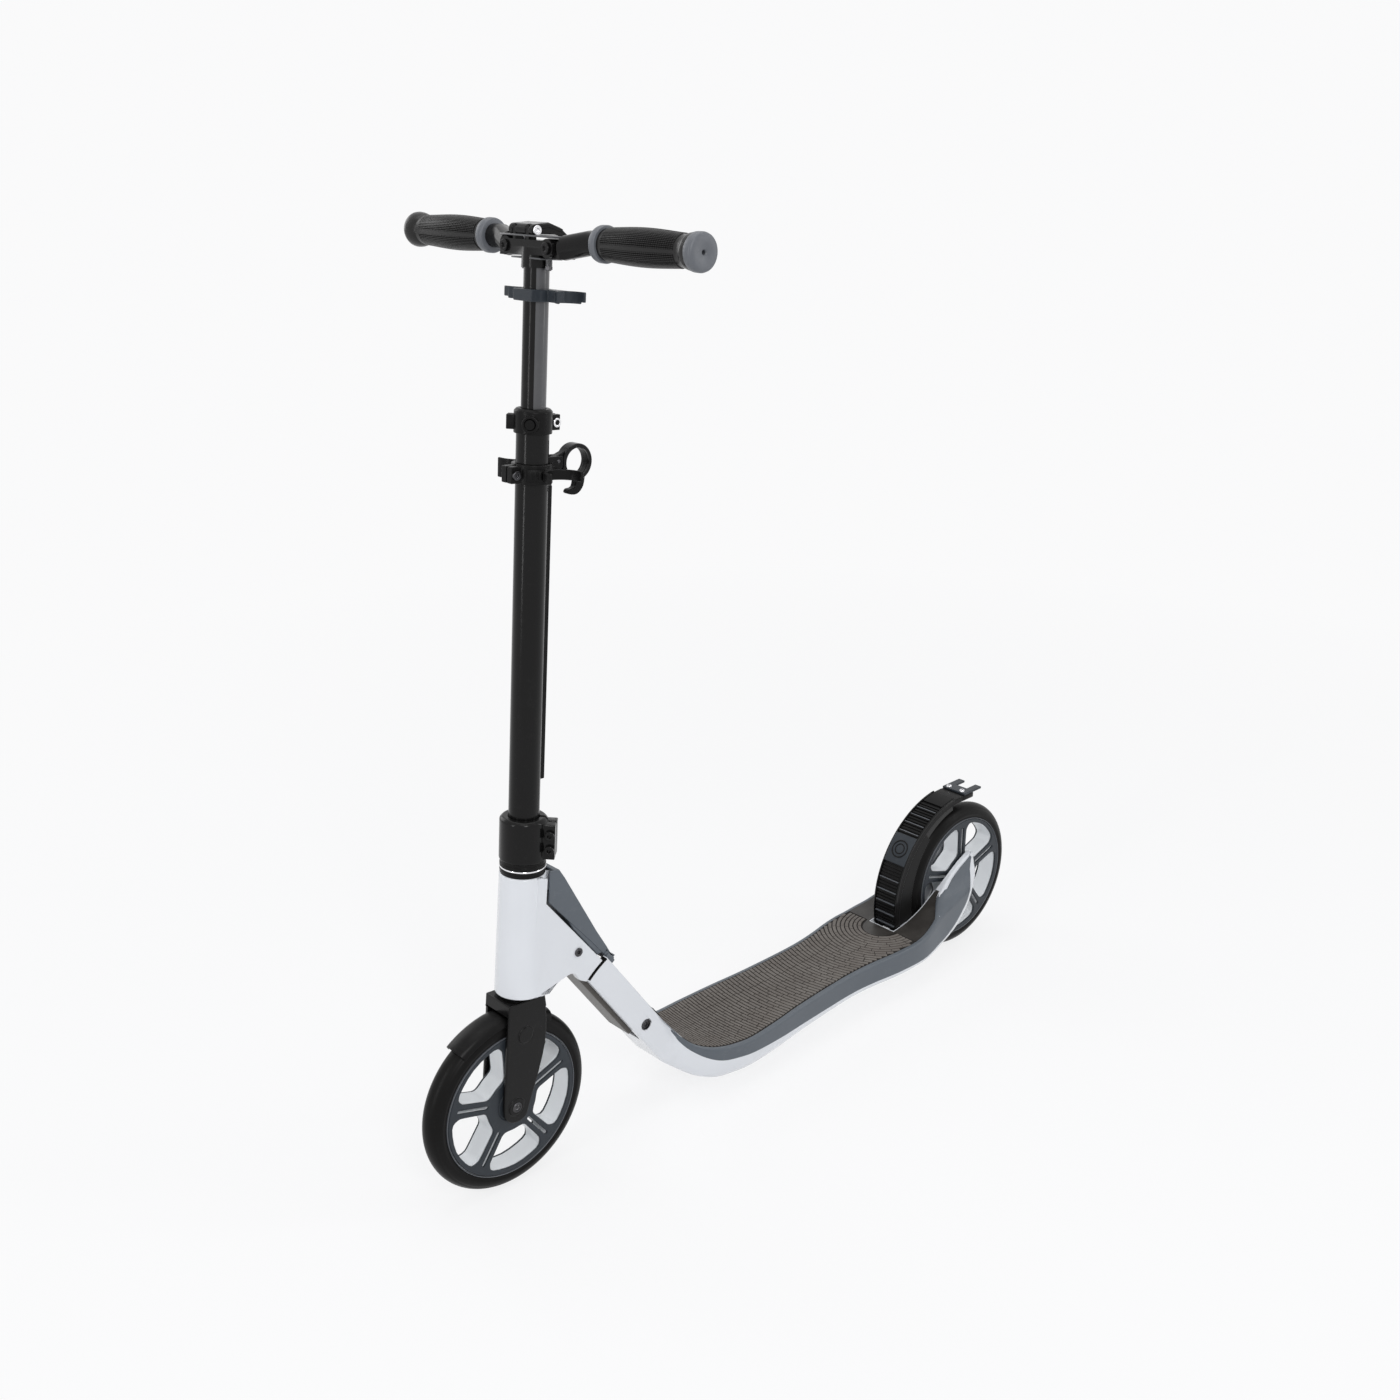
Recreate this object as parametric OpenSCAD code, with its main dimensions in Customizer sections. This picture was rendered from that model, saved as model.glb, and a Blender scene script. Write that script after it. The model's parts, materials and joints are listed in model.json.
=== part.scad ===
// Folding kick scooter for a teenager or adult, standing on its two wheels.
// +X is the way it rolls, +Y is the rider's left, +Z is up. The origin lies on
// the ground, midway between the two axles.

/* [Wheels] */
// Distance between the two axles
wheelbase = 768; // [720:1:820]
// Outer diameter of both tyres
wheel_d = 205; // [196:1:210]
// Diameter where the tyre meets the wheel core
core_d = 168; // [160:1:172]
// Width of the tyre
tyre_w = 29; // [26:0.5:30]
// Thickness of each wheel face plate
face_t = 3; // [2:0.5:4]
// Number of spokes
spoke_count = 5; // [3:1:8]
// Width of a spoke, over both of its legs
spoke_w = 22; // [18:1:26]
// Diameter of the hub
hub_d = 40; // [32:1:46]
// Outer diameter of a ball bearing
bearing_d = 22; // [20:1:26]
// Width of a ball bearing
bearing_w = 7; // [5:1:8]
// Diameter of the axle bolts
axle_d = 8; // [6:0.5:10]

/* [Deck] */
// Height of the standing surface at its rear slot
deck_top = 78; // [70:1:86]
// How far the standing surface dips towards the front
deck_dip = 8; // [0:1:12]
// Thickness of the deck at the rear slot
deck_t = 40; // [34:1:46]
// Greatest width of the deck
deck_w = 128; // [116:1:140]
// Width of the deck at its waist
waist_w = 108; // [96:1:116]
// Width of the neck over both rails
neck_w = 52; // [46:1:60]
// Distance from the rear axle to the front end of the wheel slot
slot_reach = 148; // [140:1:156]
// Thickness of the side trims
trim_t = 3.5; // [2:0.5:5]
// Thickness of the grip mat
mat_t = 4; // [2:0.5:5]
// Width of the beam in the tub
beam_w = 70; // [50:1:76]
// Height of the beam in the tub
beam_h = 22; // [16:1:24]
// Wall of the beam in the tub
beam_wall = 2.5; // [1.5:0.5:4]

/* [Neck] */
// Distance of the fold pivot behind the front axle
pivot_setback = 181; // [174:1:188]
// Height of the fold pivot
pivot_z = 127; // [120:1:134]
// Slope of the neck
neck_angle = 55.4; // [52:0.1:58]
// Radius of the joint line between the neck rails and the head
rail_reach = 120; // [112:1:126]
// Depth of the rails behind the pivot
rail_rear = 18; // [16:1:22]
// Depth of the rails before the pivot
rail_front = 15.4; // [13:0.2:18]
// Width of the channel between the rails
channel_w = 36; // [32.5:0.5:38]
// Diameter of the fold pivot bolt
fold_bolt_d = 10; // [8:0.5:12]

/* [Head] */
// Rearward lean of the steering axis
steer_lean = 5.1; // [4:0.1:7]
// Distance of the front axle before the steering axis
fork_offset = 17; // [14:0.5:20]
// Height of the head above the front axle, measured along the steering axis
head_low = 126; // [122:1:130]
// Length of the head
head_len = 136; // [130:1:142]
// Radius of the head shell at its top
head_r_top = 24.5; // [24:0.5:27]
// Radius of the head shell at its foot
head_r_low = 27; // [25:0.5:29]
// Wall of the head shell
shell_t = 3; // [2:0.5:4]
// Diameter of the steerer tube
steerer_d = 28; // [25:0.5:30]

/* [Fork] */
// Thickness of a fork blade
blade_t = 4.5; // [3:0.5:6]
// Free gap between a fork blade and the wheel
blade_gap = 2; // [1:0.5:3]
// Height of the crown block
crown_h = 14; // [10:1:16]
// Thickness of the front mudguard
mudguard_t = 2.5; // [2:0.5:3]
// Gap between the front mudguard and the tyre
mudguard_gap = 2.5; // [2:0.5:3]

/* [Column] */
// Diameter of the outer tube
column_d = 32; // [31:0.5:35]
// Wall of the outer tube
column_wall = 2; // [1.5:0.5:2.5]
// Height of the top of the outer tube above the front axle, along the steering axis
column_top = 733; // [700:1:770]
// Diameter of the inner tube
inner_d = 24; // [22:0.5:25]
// Wall of the inner tube
inner_wall = 2; // [1.5:0.5:3]
// Diameter of the clamp that joins the column to the steerer
clamp_d = 50; // [46:1:54]
// Height of that clamp
clamp_h = 46; // [42:1:54]
// Travel of the inner tube, down from the height as built
height_travel = 85; // [40:1:88]

/* [Handlebar] */
// Height of the grips above the front axle, along the steering axis
grip_height = 890; // [870:1:920]
// Half of the width over the grips
bar_reach = 214; // [200:1:230]
// Diameter of a bar
bar_d = 22; // [20:0.5:24]
// Diameter of a grip
grip_d = 31; // [28:0.5:33]
// Diameter of the grip's end flange
flange_d = 33; // [30:0.5:35]
// Length of a grip between its collar and its end
grip_len = 108; // [96:1:114]
// Distance of each bar's fold pivot from the middle
bar_pivot_y = 31; // [29:0.5:34]
// How far the bars rise from their pivots to the grips
bar_rise = 7; // [5:0.5:9]
// How far the bars sweep back from their pivots to the grips
bar_sweep = 10; // [0:1:14]

/* [Brake] */
// Outer radius of the fender about the rear axle
fender_r = 133; // [130:1:137]
// Thickness of the fender
fender_t = 9; // [6:1:11]
// Width of the fender
fender_w = 38; // [35:1:38]
// Gap between the brake pad and the tyre
brake_gap = 6; // [4:0.5:8]

/* [Hidden] */
$fn = 48;

// Clearances and small shared sizes
eps = 0.01;
run_gap = 0.05;      // radial play of a shaft in its bore
skin_gap = 0.3;      // gap between neighbouring mouldings
wheel_r = wheel_d / 2;
front_x = wheelbase / 2;
rear_x = -wheelbase / 2;
half_neck = neck_w / 2;
half_channel = channel_w / 2;
pivot_x = front_x - pivot_setback;
slot_half = 20;
slot_x = rear_x + slot_reach;
nose_x = pivot_x - 62;

// Frames of reference ------------------------------------------------------

// Steering frame: Z runs up the steering axis, the front axle lies on its X axis
steer_x = front_x - fork_offset * cos(steer_lean);
steer_z = wheel_r - fork_offset * sin(steer_lean);
module steer() translate([steer_x, 0, steer_z]) rotate([0, -steer_lean, 0]) children();

// Neck frame: X runs up the neck from the fold pivot, Z points behind the neck
module neck() translate([pivot_x, 0, pivot_z]) rotate([0, -neck_angle, 0]) children();

// A point at distance u up the neck and v before its middle line, as [x, z]
function neck_point(u, v) = [
  pivot_x + u * cos(neck_angle) + v * sin(neck_angle),
  pivot_z + u * sin(neck_angle) - v * cos(neck_angle)
];

// A point of the steering frame as [x, z] of the part
function steer_point(x, z) = [
  steer_x + x * cos(steer_lean) - z * sin(steer_lean),
  steer_z + x * sin(steer_lean) + z * cos(steer_lean)
];

// General shapes -----------------------------------------------------------

// Extrudes a side view, drawn as [x, z], evenly to both sides of the middle plane
module side_slab(half) rotate([90, 0, 0]) linear_extrude(height = 2 * half, center = true) children();

// Extrudes a side view from one distance to another on the left and the right
module side_pair(from, to) for (s = [-1, 1])
  translate([0, s * (from + to) / 2, 0]) side_slab((to - from) / 2) children();

// A cylinder across the part, centred at [x, z]
module cross_rod(r, half, at = [0, 0]) translate([at[0], 0, at[1]]) rotate([90, 0, 0])
  cylinder(r = r, h = 2 * half, center = true);

// A ring about Z
module tube(r_out, r_in, h) difference() {
  cylinder(r = r_out, h = h);
  translate([0, 0, -1]) cylinder(r = r_in, h = h + 2);
}

// A wedge in a side view, from one angle to another
module wedge(from, to, r) polygon(concat([[0, 0]],
  [for (i = [0:6]) let (a = from + (to - from) * i / 6) [r * cos(a), r * sin(a)]]));

// Smooth line through a list of points
function smooth(p0, p1, p2, p3, t) = 0.5 * ((2 * p1) + (p2 - p0) * t
  + (2 * p0 - 5 * p1 + 4 * p2 - p3) * t * t + (3 * p1 - p0 - 3 * p2 + p3) * t * t * t);
function path(pts, steps = 4) = let (n = len(pts) - 1) concat(
  [for (i = [0:n - 1], j = [0:steps - 1])
    smooth(pts[max(i - 1, 0)], pts[i], pts[i + 1], pts[min(i + 2, n)], j / steps)],
  [pts[n]]);

// Deck forms ---------------------------------------------------------------

// A place along the deck: 0 at its nose, 1 at the wheel slot
function station(f) = nose_x + f * (slot_x - nose_x);

// The standing surface, from the fin tip forward to the nose, lowered by d
fin_tip = [rear_x - 2, deck_top + 65];
function top_line(d) = path([
  [fin_tip[0], fin_tip[1] - d], [rear_x + 35, deck_top + 45 - d], [rear_x + 72, deck_top + 24 - d],
  [rear_x + 99, deck_top + 8 - d], [rear_x + 122, deck_top + 1 - d], [slot_x, deck_top - d],
  [station(0.7), deck_top - 0.3 * deck_dip - d], [station(0.42), deck_top - 0.7 * deck_dip - d],
  [station(0.2), deck_top - deck_dip - d], [station(0.08), deck_top - 0.75 * deck_dip - d],
  [nose_x, deck_top + 1 - d]]);

// The underside, from the front of the neck back to the fin tip
under_line = concat(
  path([neck_point(-40, rail_front), neck_point(-54, rail_front), [nose_x + 18, deck_top - 29],
    [station(0.05), deck_top - deck_t - 10], [station(0.2), deck_top - deck_t - 15],
    [station(0.42), deck_top - deck_t - 10], [station(0.7), deck_top - deck_t - 3],
    [slot_x, deck_top - deck_t], [rear_x + 74, deck_top - deck_t], [rear_x + 39, deck_top - deck_t + 7],
    [rear_x + 12, deck_top - deck_t + 24], [rear_x - 6, deck_top - deck_t + 42],
    [rear_x - 15, deck_top - deck_t + 62], [rear_x - 13, deck_top - deck_t + 87], fin_tip]));

// The end of the neck rails, an arc about the fold pivot
rail_angle_rear = neck_angle + asin(rail_rear / rail_reach);
rail_angle_front = neck_angle - asin(rail_front / rail_reach);
rail_end = [for (i = [0:6]) let (a = rail_angle_rear + (rail_angle_front - rail_angle_rear) * i / 6)
  [pivot_x + rail_reach * cos(a), pivot_z + rail_reach * sin(a)]];

module deck_side(d = 0) polygon(concat(
  [for (p = top_line(mat_t + d)) p], [neck_point(-74, -rail_rear)], rail_end, under_line));

// Half of the deck's width at places along it, front to rear
half_w = deck_w / 2;
half_waist = waist_w / 2;
width_line = path([
  [front_x, half_neck], [nose_x + 40, half_neck], [nose_x + 22, half_neck + 3], [nose_x + 9, half_neck + 12],
  [station(0.03), 0.83 * half_w], [station(0.08), 0.92 * half_w], [station(0.14), 0.98 * half_w],
  [station(0.2), half_w], [station(0.32), half_w - 0.25 * (half_w - half_waist)],
  [station(0.45), half_w - 0.7 * (half_w - half_waist)], [station(0.66), half_waist],
  [station(0.78), half_w - 0.75 * (half_w - half_waist)], [station(0.88),
    half_w - 0.2 * (half_w - half_waist)],
  [station(0.96), half_w], [slot_x - 14, half_w - 1], [rear_x + 110, half_w - 6], [rear_x + 77, half_w - 14],
  [rear_x + 39, half_w - 20], [rear_x + 12, half_w - 25], [rear_x - 8, half_w - 31], [rear_x - 22,
    half_w - 34]],
  3);
module deck_plan(inset) linear_extrude(height = 300) polygon(concat(
  [for (p = width_line) [p[0], p[1] - inset]],
  [for (i = [len(width_line) - 1:-1:0]) [width_line[i][0], -(width_line[i][1] - inset)]]));

// Front view: full width up to the standing surface, then narrowing into the fins
fin_half = slot_half + 8;
module deck_front(inset) rotate([90, 0, 90]) linear_extrude(height = 1200, center = true) polygon([
  [half_w + 1 - inset, 0], [half_w + 1 - inset, deck_top + 3], [fin_half + 14 - inset, deck_top + 17],
  [fin_half + 4 - inset, deck_top + 32], [fin_half - inset, deck_top + 72], [fin_half - inset, 300],
  [-fin_half + inset, 300], [-fin_half + inset, deck_top + 72], [-fin_half - 4 + inset, deck_top + 32],
  [-fin_half - 14 + inset, deck_top + 17], [-half_w - 1 + inset, deck_top + 3], [-half_w - 1 + inset, 0]]);

// Side view of the zone that the trims cover, above their lower edge
module trim_zone() polygon(concat(
  path([[nose_x + 24, deck_top + 20], [nose_x + 16, deck_top + 6], [nose_x - 2, deck_top - 12],
    [station(0.06), deck_top - 24], [station(0.18), deck_top - 32], [station(0.42), deck_top - 36],
    [station(0.67), deck_top - 34], [station(0.9), deck_top - 33], [rear_x + 126, deck_top - 34],
    [rear_x + 77, deck_top - 31], [rear_x + 41, deck_top - 18], [rear_x + 16, deck_top + 3],
    [rear_x + 1, deck_top + 30], [rear_x + 2, deck_top + 66]]),
  [[rear_x + 2, 300], [nose_x + 24, 300]]));

// Everything between the deck's outer faces, drawn in by inset
module deck_form(inset = 0) intersection() {
  side_slab(half_w + 5) children();
  deck_plan(inset);
  deck_front(inset);
}

// The slot for the rear wheel
module wheel_slot(extra = 0) translate([slot_x - 400 + extra, -slot_half - extra, -10])
  cube([400, 2 * (slot_half + extra), 320]);

// Deck ----------------------------------------------------------------------

beam_front = station(0.13);
beam_back = station(0.92);
beam_low = deck_top - deck_dip - mat_t - 3 - beam_h;
fender_axis = [slot_x - 14, deck_top - 14];
notch_u = 87;        // place of the latch notch up the neck
notch_v = 4;         // and behind its middle line
latch_r = 3.5;
tab_u = 108;         // place of the fold lever's tabs

module deck_shell() color("white") difference() {
  deck_form() offset(r = 1) offset(r = -1) deck_side();
  intersection() {
    difference() {
      deck_form(-1) deck_side(-20);
      deck_form(trim_t) deck_side(-20);
    }
    side_slab(half_w + 5) trim_zone();
  }
  wheel_slot();
  // channel between the rails, with a round floor about the fold pivot
  side_slab(half_channel) {
    polygon([neck_point(0, rail_front + 10), neck_point(rail_reach + 10, rail_front + 10),
      neck_point(rail_reach + 10, -60), neck_point(-30, -60), neck_point(-30, 0), neck_point(0, 0)]);
    translate([pivot_x, pivot_z]) circle(r = 22);
  }
  cross_rod(fold_bolt_d / 2, half_neck + 5, [pivot_x, pivot_z]);
  // notches that take the latch pin, open to the rear
  side_pair(half_channel - 1, half_channel + 4) {
    translate(neck_point(notch_u, -notch_v)) circle(r = latch_r + skin_gap);
    polygon([neck_point(notch_u - latch_r - 3.5, -notch_v), neck_point(notch_u + latch_r + skin_gap,
      -notch_v),
      neck_point(notch_u + latch_r + skin_gap, -notch_v - 20),
      neck_point(notch_u - latch_r - 3.5, -notch_v - 20)]);
  }
  // pockets for the fold lever's tabs
  neck() for (s = [-1, 1]) translate([tab_u - 4.5, s * (half_channel + 3) - 2.5, rail_rear - 4])
    cube([9, 5, 10]);
  translate([beam_back, -beam_w / 2, beam_low]) cube([beam_front - beam_back, beam_w, beam_h]);
  cross_rod(axle_d / 2, fin_half + 30, [rear_x, wheel_r]);
  cross_rod(4, slot_half + 8, fender_axis);
  // pockets between the ribs of the underside
  for (i = [0:5], s = [-1, 1]) translate([station(0.16 + 0.13 * i) - 18, s * (half_waist - 12) - 4, 0])
    cube([36, 8, deck_top - 26]);
}

module deck_beam() color("silver") translate([beam_back, -beam_w / 2, beam_low]) difference() {
  cube([beam_front - beam_back, beam_w, beam_h]);
  translate([-1, beam_wall, beam_wall])
    cube([beam_front - beam_back + 2, beam_w - 2 * beam_wall, beam_h - 2 * beam_wall]);
}

module side_trim() color("slategray") difference() {
  intersection() {
    difference() {
      deck_form() deck_side(-mat_t);
      deck_form(trim_t) deck_side(-20);
    }
    side_slab(half_w + 5) trim_zone();
  }
  translate([-600, -200, -1]) cube([1200, 200, 400]);
  wheel_slot();
}
module side_trim_left() side_trim();
module side_trim_right() mirror([0, 1, 0]) side_trim();

module grip_mat() color("dimgray") difference() {
  intersection() {
    deck_form(trim_t) polygon(concat(
      [for (p = top_line(0)) if (p[0] > rear_x + 66) p],
      [for (i = [len(top_line(0)) - 1:-1:0]) let (p = top_line(mat_t)[i]) if (p[0] > rear_x + 66) p]));
    translate([-600, -200, -1]) cube([600 + nose_x, 400, 400]);
  }
  wheel_slot(2);
}

module fold_pivot_bolt() color("dimgray") difference() {
  cross_rod(fold_bolt_d / 2, half_neck - 2.5, [pivot_x, pivot_z]);
  for (s = [-1, 1]) translate([pivot_x, s * (half_neck - 2.5), pivot_z]) rotate([90, 0, 0])
    cylinder(r = 2.6, h = 6, center = true, $fn = 6);
}

// Wheels ---------------------------------------------------------------------

hub_half = 13.5;     // half of the hub's length between its bearings' outer faces
core_half = tyre_w / 2 - face_t;

module wheel_at(x) translate([x, 0, wheel_r]) children();

module tyre() color("black") rotate([90, 0, 0]) rotate_extrude() difference() {
  union() {
    translate([wheel_r - tyre_w / 2, 0]) circle(d = tyre_w);
    translate([core_d / 2, -tyre_w / 2 + 1]) square([wheel_r - tyre_w / 2 - core_d / 2, tyre_w - 2]);
  }
  translate([0, -tyre_w]) square([core_d / 2, 2 * tyre_w]);
}

// One wheel plane: a disc with rounded windows and a slot in each spoke
rim_in = core_d / 2 - 13;
window_step = 360 / spoke_count;
// A place at radius r and the given distance from the spoke beside a window
function beside(r, away) = let (a = window_step / 2) [r * cos(a) + away * sin(a), r * sin(a) - away * cos(a)];
function window_half(away) = [[hub_d / 2 + 8 + 0.4 * away, 0], beside(hub_d / 2 + 12, away + 0.5),
  beside(hub_d / 2 + 20, away), beside(rim_in - 14, away), beside(rim_in - 6.5, away + 1.5),
  [rim_in * cos(window_step / 2 - 16), rim_in * sin(window_step / 2 - 16)]];
function window_line(away) = let (h = window_half(away)) path(concat(h, [[rim_in + 0.5, 0]],
  [for (i = [len(h) - 1:-1:0]) [h[i][0], -h[i][1]]]), 3);

module wheel_plane(out, grow = 0) difference() {
  circle(r = out);
  for (i = [0:spoke_count - 1]) rotate(i * window_step + 18) {
    rotate(window_step / 2) polygon(window_line(spoke_w / 2 + grow));
    translate([hub_d / 2 + 15, -2.3]) square([rim_in - hub_d / 2 - 21, 4.6]);
    for (x = [hub_d / 2 + 15, rim_in - 6]) translate([x, 0]) circle(r = 2.3);
  }
}

module wheel_core() color("gainsboro") rotate([90, 0, 0]) difference() {
  union() {
    linear_extrude(height = 2 * core_half, center = true) wheel_plane(core_d / 2);
    cylinder(d = hub_d - 4, h = 2 * hub_half, center = true);
  }
  for (s = [-1, 1]) translate([0, 0, s * (hub_half - bearing_w / 2)])
    cylinder(d = bearing_d, h = bearing_w + eps, center = true);
  cylinder(d = bearing_d - 6, h = 60, center = true);
}

module wheel_faces() color("slategray") for (s = [-1, 1]) translate([0, s * (core_half + face_t / 2), 0])
  rotate([90, 0, 0]) linear_extrude(height = face_t, center = true) difference() {
    wheel_plane(core_d / 2 - 1.5, -0.6);
    circle(r = hub_d / 2 - 2);
  }

module bearing_pair() color("silver") for (s = [-1, 1]) translate([0, s * (hub_half - bearing_w / 2), 0])
  rotate([90, 0, 0]) difference() {
    cylinder(d = bearing_d, h = bearing_w, center = true);
    cylinder(r = axle_d / 2 + run_gap, h = 20, center = true);
  }

module bearing_spacer() color("silver") rotate([90, 0, 0]) difference() {
  cylinder(r = axle_d / 2 + 2.5, h = 2 * (hub_half - bearing_w), center = true);
  cylinder(r = axle_d / 2 + run_gap, h = 60, center = true);
}

// Two washers that keep the wheel midway, out to the given distance
module axle_washers(out) color("silver") for (s = [-1, 1])
  translate([0, s * (hub_half + 0.1 + out) / 2, 0]) rotate([90, 0, 0]) difference() {
    cylinder(r = axle_d / 2 + 3, h = out - hub_half - 0.1, center = true);
    cylinder(r = axle_d / 2, h = 40, center = true);
  }

module axle_bolt(half) color("gray") rotate([90, 0, 0]) difference() {
  cylinder(d = axle_d, h = 2 * half, center = true);
  for (s = [-1, 1]) translate([0, 0, s * half]) cylinder(r = 2.3, h = 5, center = true, $fn = 6);
}

module rear_tyre() wheel_at(rear_x) tyre();
module rear_wheel_core() wheel_at(rear_x) wheel_core();
module rear_wheel_faces() wheel_at(rear_x) wheel_faces();
module rear_bearings() wheel_at(rear_x) bearing_pair();
module rear_bearing_spacer() wheel_at(rear_x) bearing_spacer();
module rear_axle() wheel_at(rear_x) axle_bolt(fin_half - trim_t);
module rear_spacers() wheel_at(rear_x) axle_washers(slot_half);
module front_tyre() wheel_at(front_x) tyre();
module front_wheel_core() wheel_at(front_x) wheel_core();
module front_wheel_faces() wheel_at(front_x) wheel_faces();
module front_bearings() wheel_at(front_x) bearing_pair();
module front_bearing_spacer() wheel_at(front_x) bearing_spacer();

// Brake -----------------------------------------------------------------------

fender_c = [rear_x + 12, wheel_r - 4.5];     // centre of the fender's arc
fender_out = fender_r - 2;
fender_in = fender_out - fender_t;
fender_half = fender_w / 2;
tail_z = fender_c[1] + fender_out;
fender_low = asin((fender_axis[1] - fender_c[1]) / (fender_out - fender_t / 2));

module fender_arc(r_out, r_in, from, to) translate(fender_c) intersection() {
  difference() {
    circle(r = r_out, $fn = 120);
    circle(r = r_in, $fn = 120);
  }
  wedge(from, to, 2 * r_out);
}

module brake_fender() color("black") difference() {
  union() {
    side_slab(fender_half) fender_arc(fender_out, fender_in, fender_low, 92);
    for (a = [6:7.5:84]) side_slab(fender_half - 2) fender_arc(fender_out + 1.5, fender_out - 1, a, a + 3.5);
    cross_rod(8, fender_half, fender_axis);
    // side walls, a crescent on each side of the wheel
    side_pair(tyre_w / 2 + 0.8, fender_half) difference() {
      fender_arc(fender_out - 2, 60, -2, 44);
      translate([fender_c[0] - 20, fender_c[1] + 4]) circle(r = fender_out - 12, $fn = 120);
    }
    // flat tail that carries the catch plate
    translate([rear_x - 12, -fender_half, tail_z - fender_t]) cube([24, fender_w, fender_t - 2]);
  }
  cross_rod(4 + run_gap, 40, fender_axis);
  cross_rod(8.5, 6.3, fender_axis);
}

tail_screw = [rear_x + 3, 11];
module brake_pad() color("dimgray") side_slab(tyre_w / 2 - 2) difference() {
  intersection() {
    translate(fender_c) circle(r = fender_in, $fn = 120);
    translate([rear_x, wheel_r]) wedge(48, 78, 200);
  }
  translate([rear_x, wheel_r]) circle(r = wheel_r + brake_gap, $fn = 120);
}

// Catch plate with two prongs, screwed to the fender's tail
module tail_screws() color("silver") for (s = [-1, 1])
  translate([tail_screw[0], s * tail_screw[1], tail_z + 1]) cylinder(r = 3.5, h = 2.5);

module catch_plate() color("black") difference() {
  translate([rear_x - 29, -fender_half, tail_z - 2]) cube([36, fender_w, 3]);
  translate([rear_x - 40, -9, tail_z - 10]) cube([30, 18, 20]);
}

module fender_pin() color("silver") cross_rod(4, slot_half + 8, fender_axis);

// Head -----------------------------------------------------------------------

head_tube_r = 20;
head_top = head_low + head_len;
tongue_half = half_channel - 0.4;
tongue_front = rail_front + 5;
tongue_rear = 9;
headset_r = 17;

module tongue_side() polygon([
  neck_point(4, tongue_front), neck_point(140, tongue_front), steer_point(0, head_low + 6),
  steer_point(0, head_low + 80), neck_point(168, -tongue_rear), neck_point(0, -tongue_rear)]);

module neck_tongue() color("rosybrown") difference() {
  union() {
    side_slab(tongue_half) tongue_side();
    cross_rod(15, tongue_half, [pivot_x, pivot_z]);
    steer() translate([0, 0, head_low]) cylinder(r = head_tube_r, h = head_len);
  }
  steer() translate([0, 0, head_low - 20]) cylinder(d = steerer_d + 1, h = head_len + 60);
  steer() for (z = [head_low - eps, head_top - 8]) translate([0, 0, z]) cylinder(r = headset_r, h = 8 + eps);
  cross_rod(fold_bolt_d / 2 + 2, 40, [pivot_x, pivot_z]);
  neck() translate([notch_u, 0, notch_v]) rotate([90, 0, 0]) cylinder(r = latch_r, h = 60, center = true);
  cross_rod(3, 40, shell_screw);
}

module pivot_bushes() color("goldenrod") for (s = [-1, 1])
  translate([pivot_x, s * (tongue_half - 5), pivot_z]) rotate([90, 0, 0]) difference() {
    cylinder(r = fold_bolt_d / 2 + 2, h = 10, center = true);
    cylinder(r = fold_bolt_d / 2 + run_gap, h = 20, center = true);
  }

// Latch pin across the tongue; its ends sit in the notches of the rails
module latch_pin() color("silver") neck() translate([notch_u, 0, notch_v])
  rotate([90, 0, 0]) cylinder(r = latch_r, h = 2 * (half_channel + 3.5), center = true);

// Rubber block in the channel that the tongue comes to rest on
module fold_stop() color("black") neck() translate([-30, -12, 15]) cube([21.5, 24, 7]);

// Head shell: a conical sleeve with two side plates that meet the rails
plate_reach = rail_reach + 1.5;
module plate_side() polygon(concat(
  [for (i = [0:6]) let (a = rail_angle_rear - 3 + (rail_angle_front - rail_angle_rear + 3) * i / 6)
    [pivot_x + plate_reach * cos(a), pivot_z + plate_reach * sin(a)]],
  path([neck_point(plate_reach - 2, rail_front + 1), neck_point(plate_reach + 9, rail_front + 6),
    neck_point(plate_reach + 26, rail_front + 9), steer_point(-14, head_low), steer_point(0, head_low)]),
  [steer_point(0, head_top), steer_point(-14, head_top - 4), steer_point(-13, head_top - 32)]));

module head_shell() color("white") difference() {
  union() {
    side_slab(half_neck - 0.5) plate_side();
    steer() translate([0, 0, head_low]) cylinder(r1 = head_r_low, r2 = head_r_top, h = head_len);
    // ears that carry the fold lever
    side_pair(6, 10) polygon([steer_point(-10, head_top), steer_point(-30, head_top - 4),
      steer_point(-lever_back - 5, head_top - 12), steer_point(-lever_back - 3, head_top - 21),
      steer_point(-10, head_top - 34)]);
  }
  steer() translate([0, 0, head_low - 1]) cylinder(r = head_tube_r, h = head_len + 2);
  steer() translate([0, 0, head_low + 6])
    cylinder(r1 = head_r_low - shell_t, r2 = head_r_top - shell_t, h = head_len - 12);
  side_slab(tongue_half + skin_gap) polygon([neck_point(60, 60), neck_point(150, 60),
    steer_point(0, head_low + 6), steer_point(0, head_top - 46), neck_point(180, -60), neck_point(60, -60)]);
  cross_rod(3, 40, shell_screw);
  cross_rod(2, 40, lever_axis);
}

shell_screw = neck_point(plate_reach + 38, 2);
module head_screws() color("silver") {
  for (s = [-1, 1]) translate([shell_screw[0], s * (half_neck - 0.5), shell_screw[1]])
    rotate([s * 90, 0, 0]) difference() {
      union() {
        translate([0, 0, -1.5]) cylinder(r = 5, h = 1.5);
        cylinder(r = 3, h = half_neck - 0.5 - tongue_half + 6);
      }
      translate([0, 0, -3]) cylinder(r = 2.3, h = 4, $fn = 6);
    }
  cross_rod(2, 10.5, lever_axis);
}

module headset_bearings() color("silver") steer() for (z = [head_low, head_top - 8])
  translate([0, 0, z]) tube(headset_r, steerer_d / 2 + run_gap, 8);

module headset_ring() color("black") steer() translate([0, 0, head_top]) difference() {
  union() {
    cylinder(r = head_r_top - 1, h = 15.7);
    for (z = [3, 9]) translate([0, 0, z]) cylinder(r = head_r_top - 0.4, h = 3);
  }
  translate([0, 0, -1]) cylinder(r = steerer_d / 2 + 1, h = 20);
}

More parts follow.
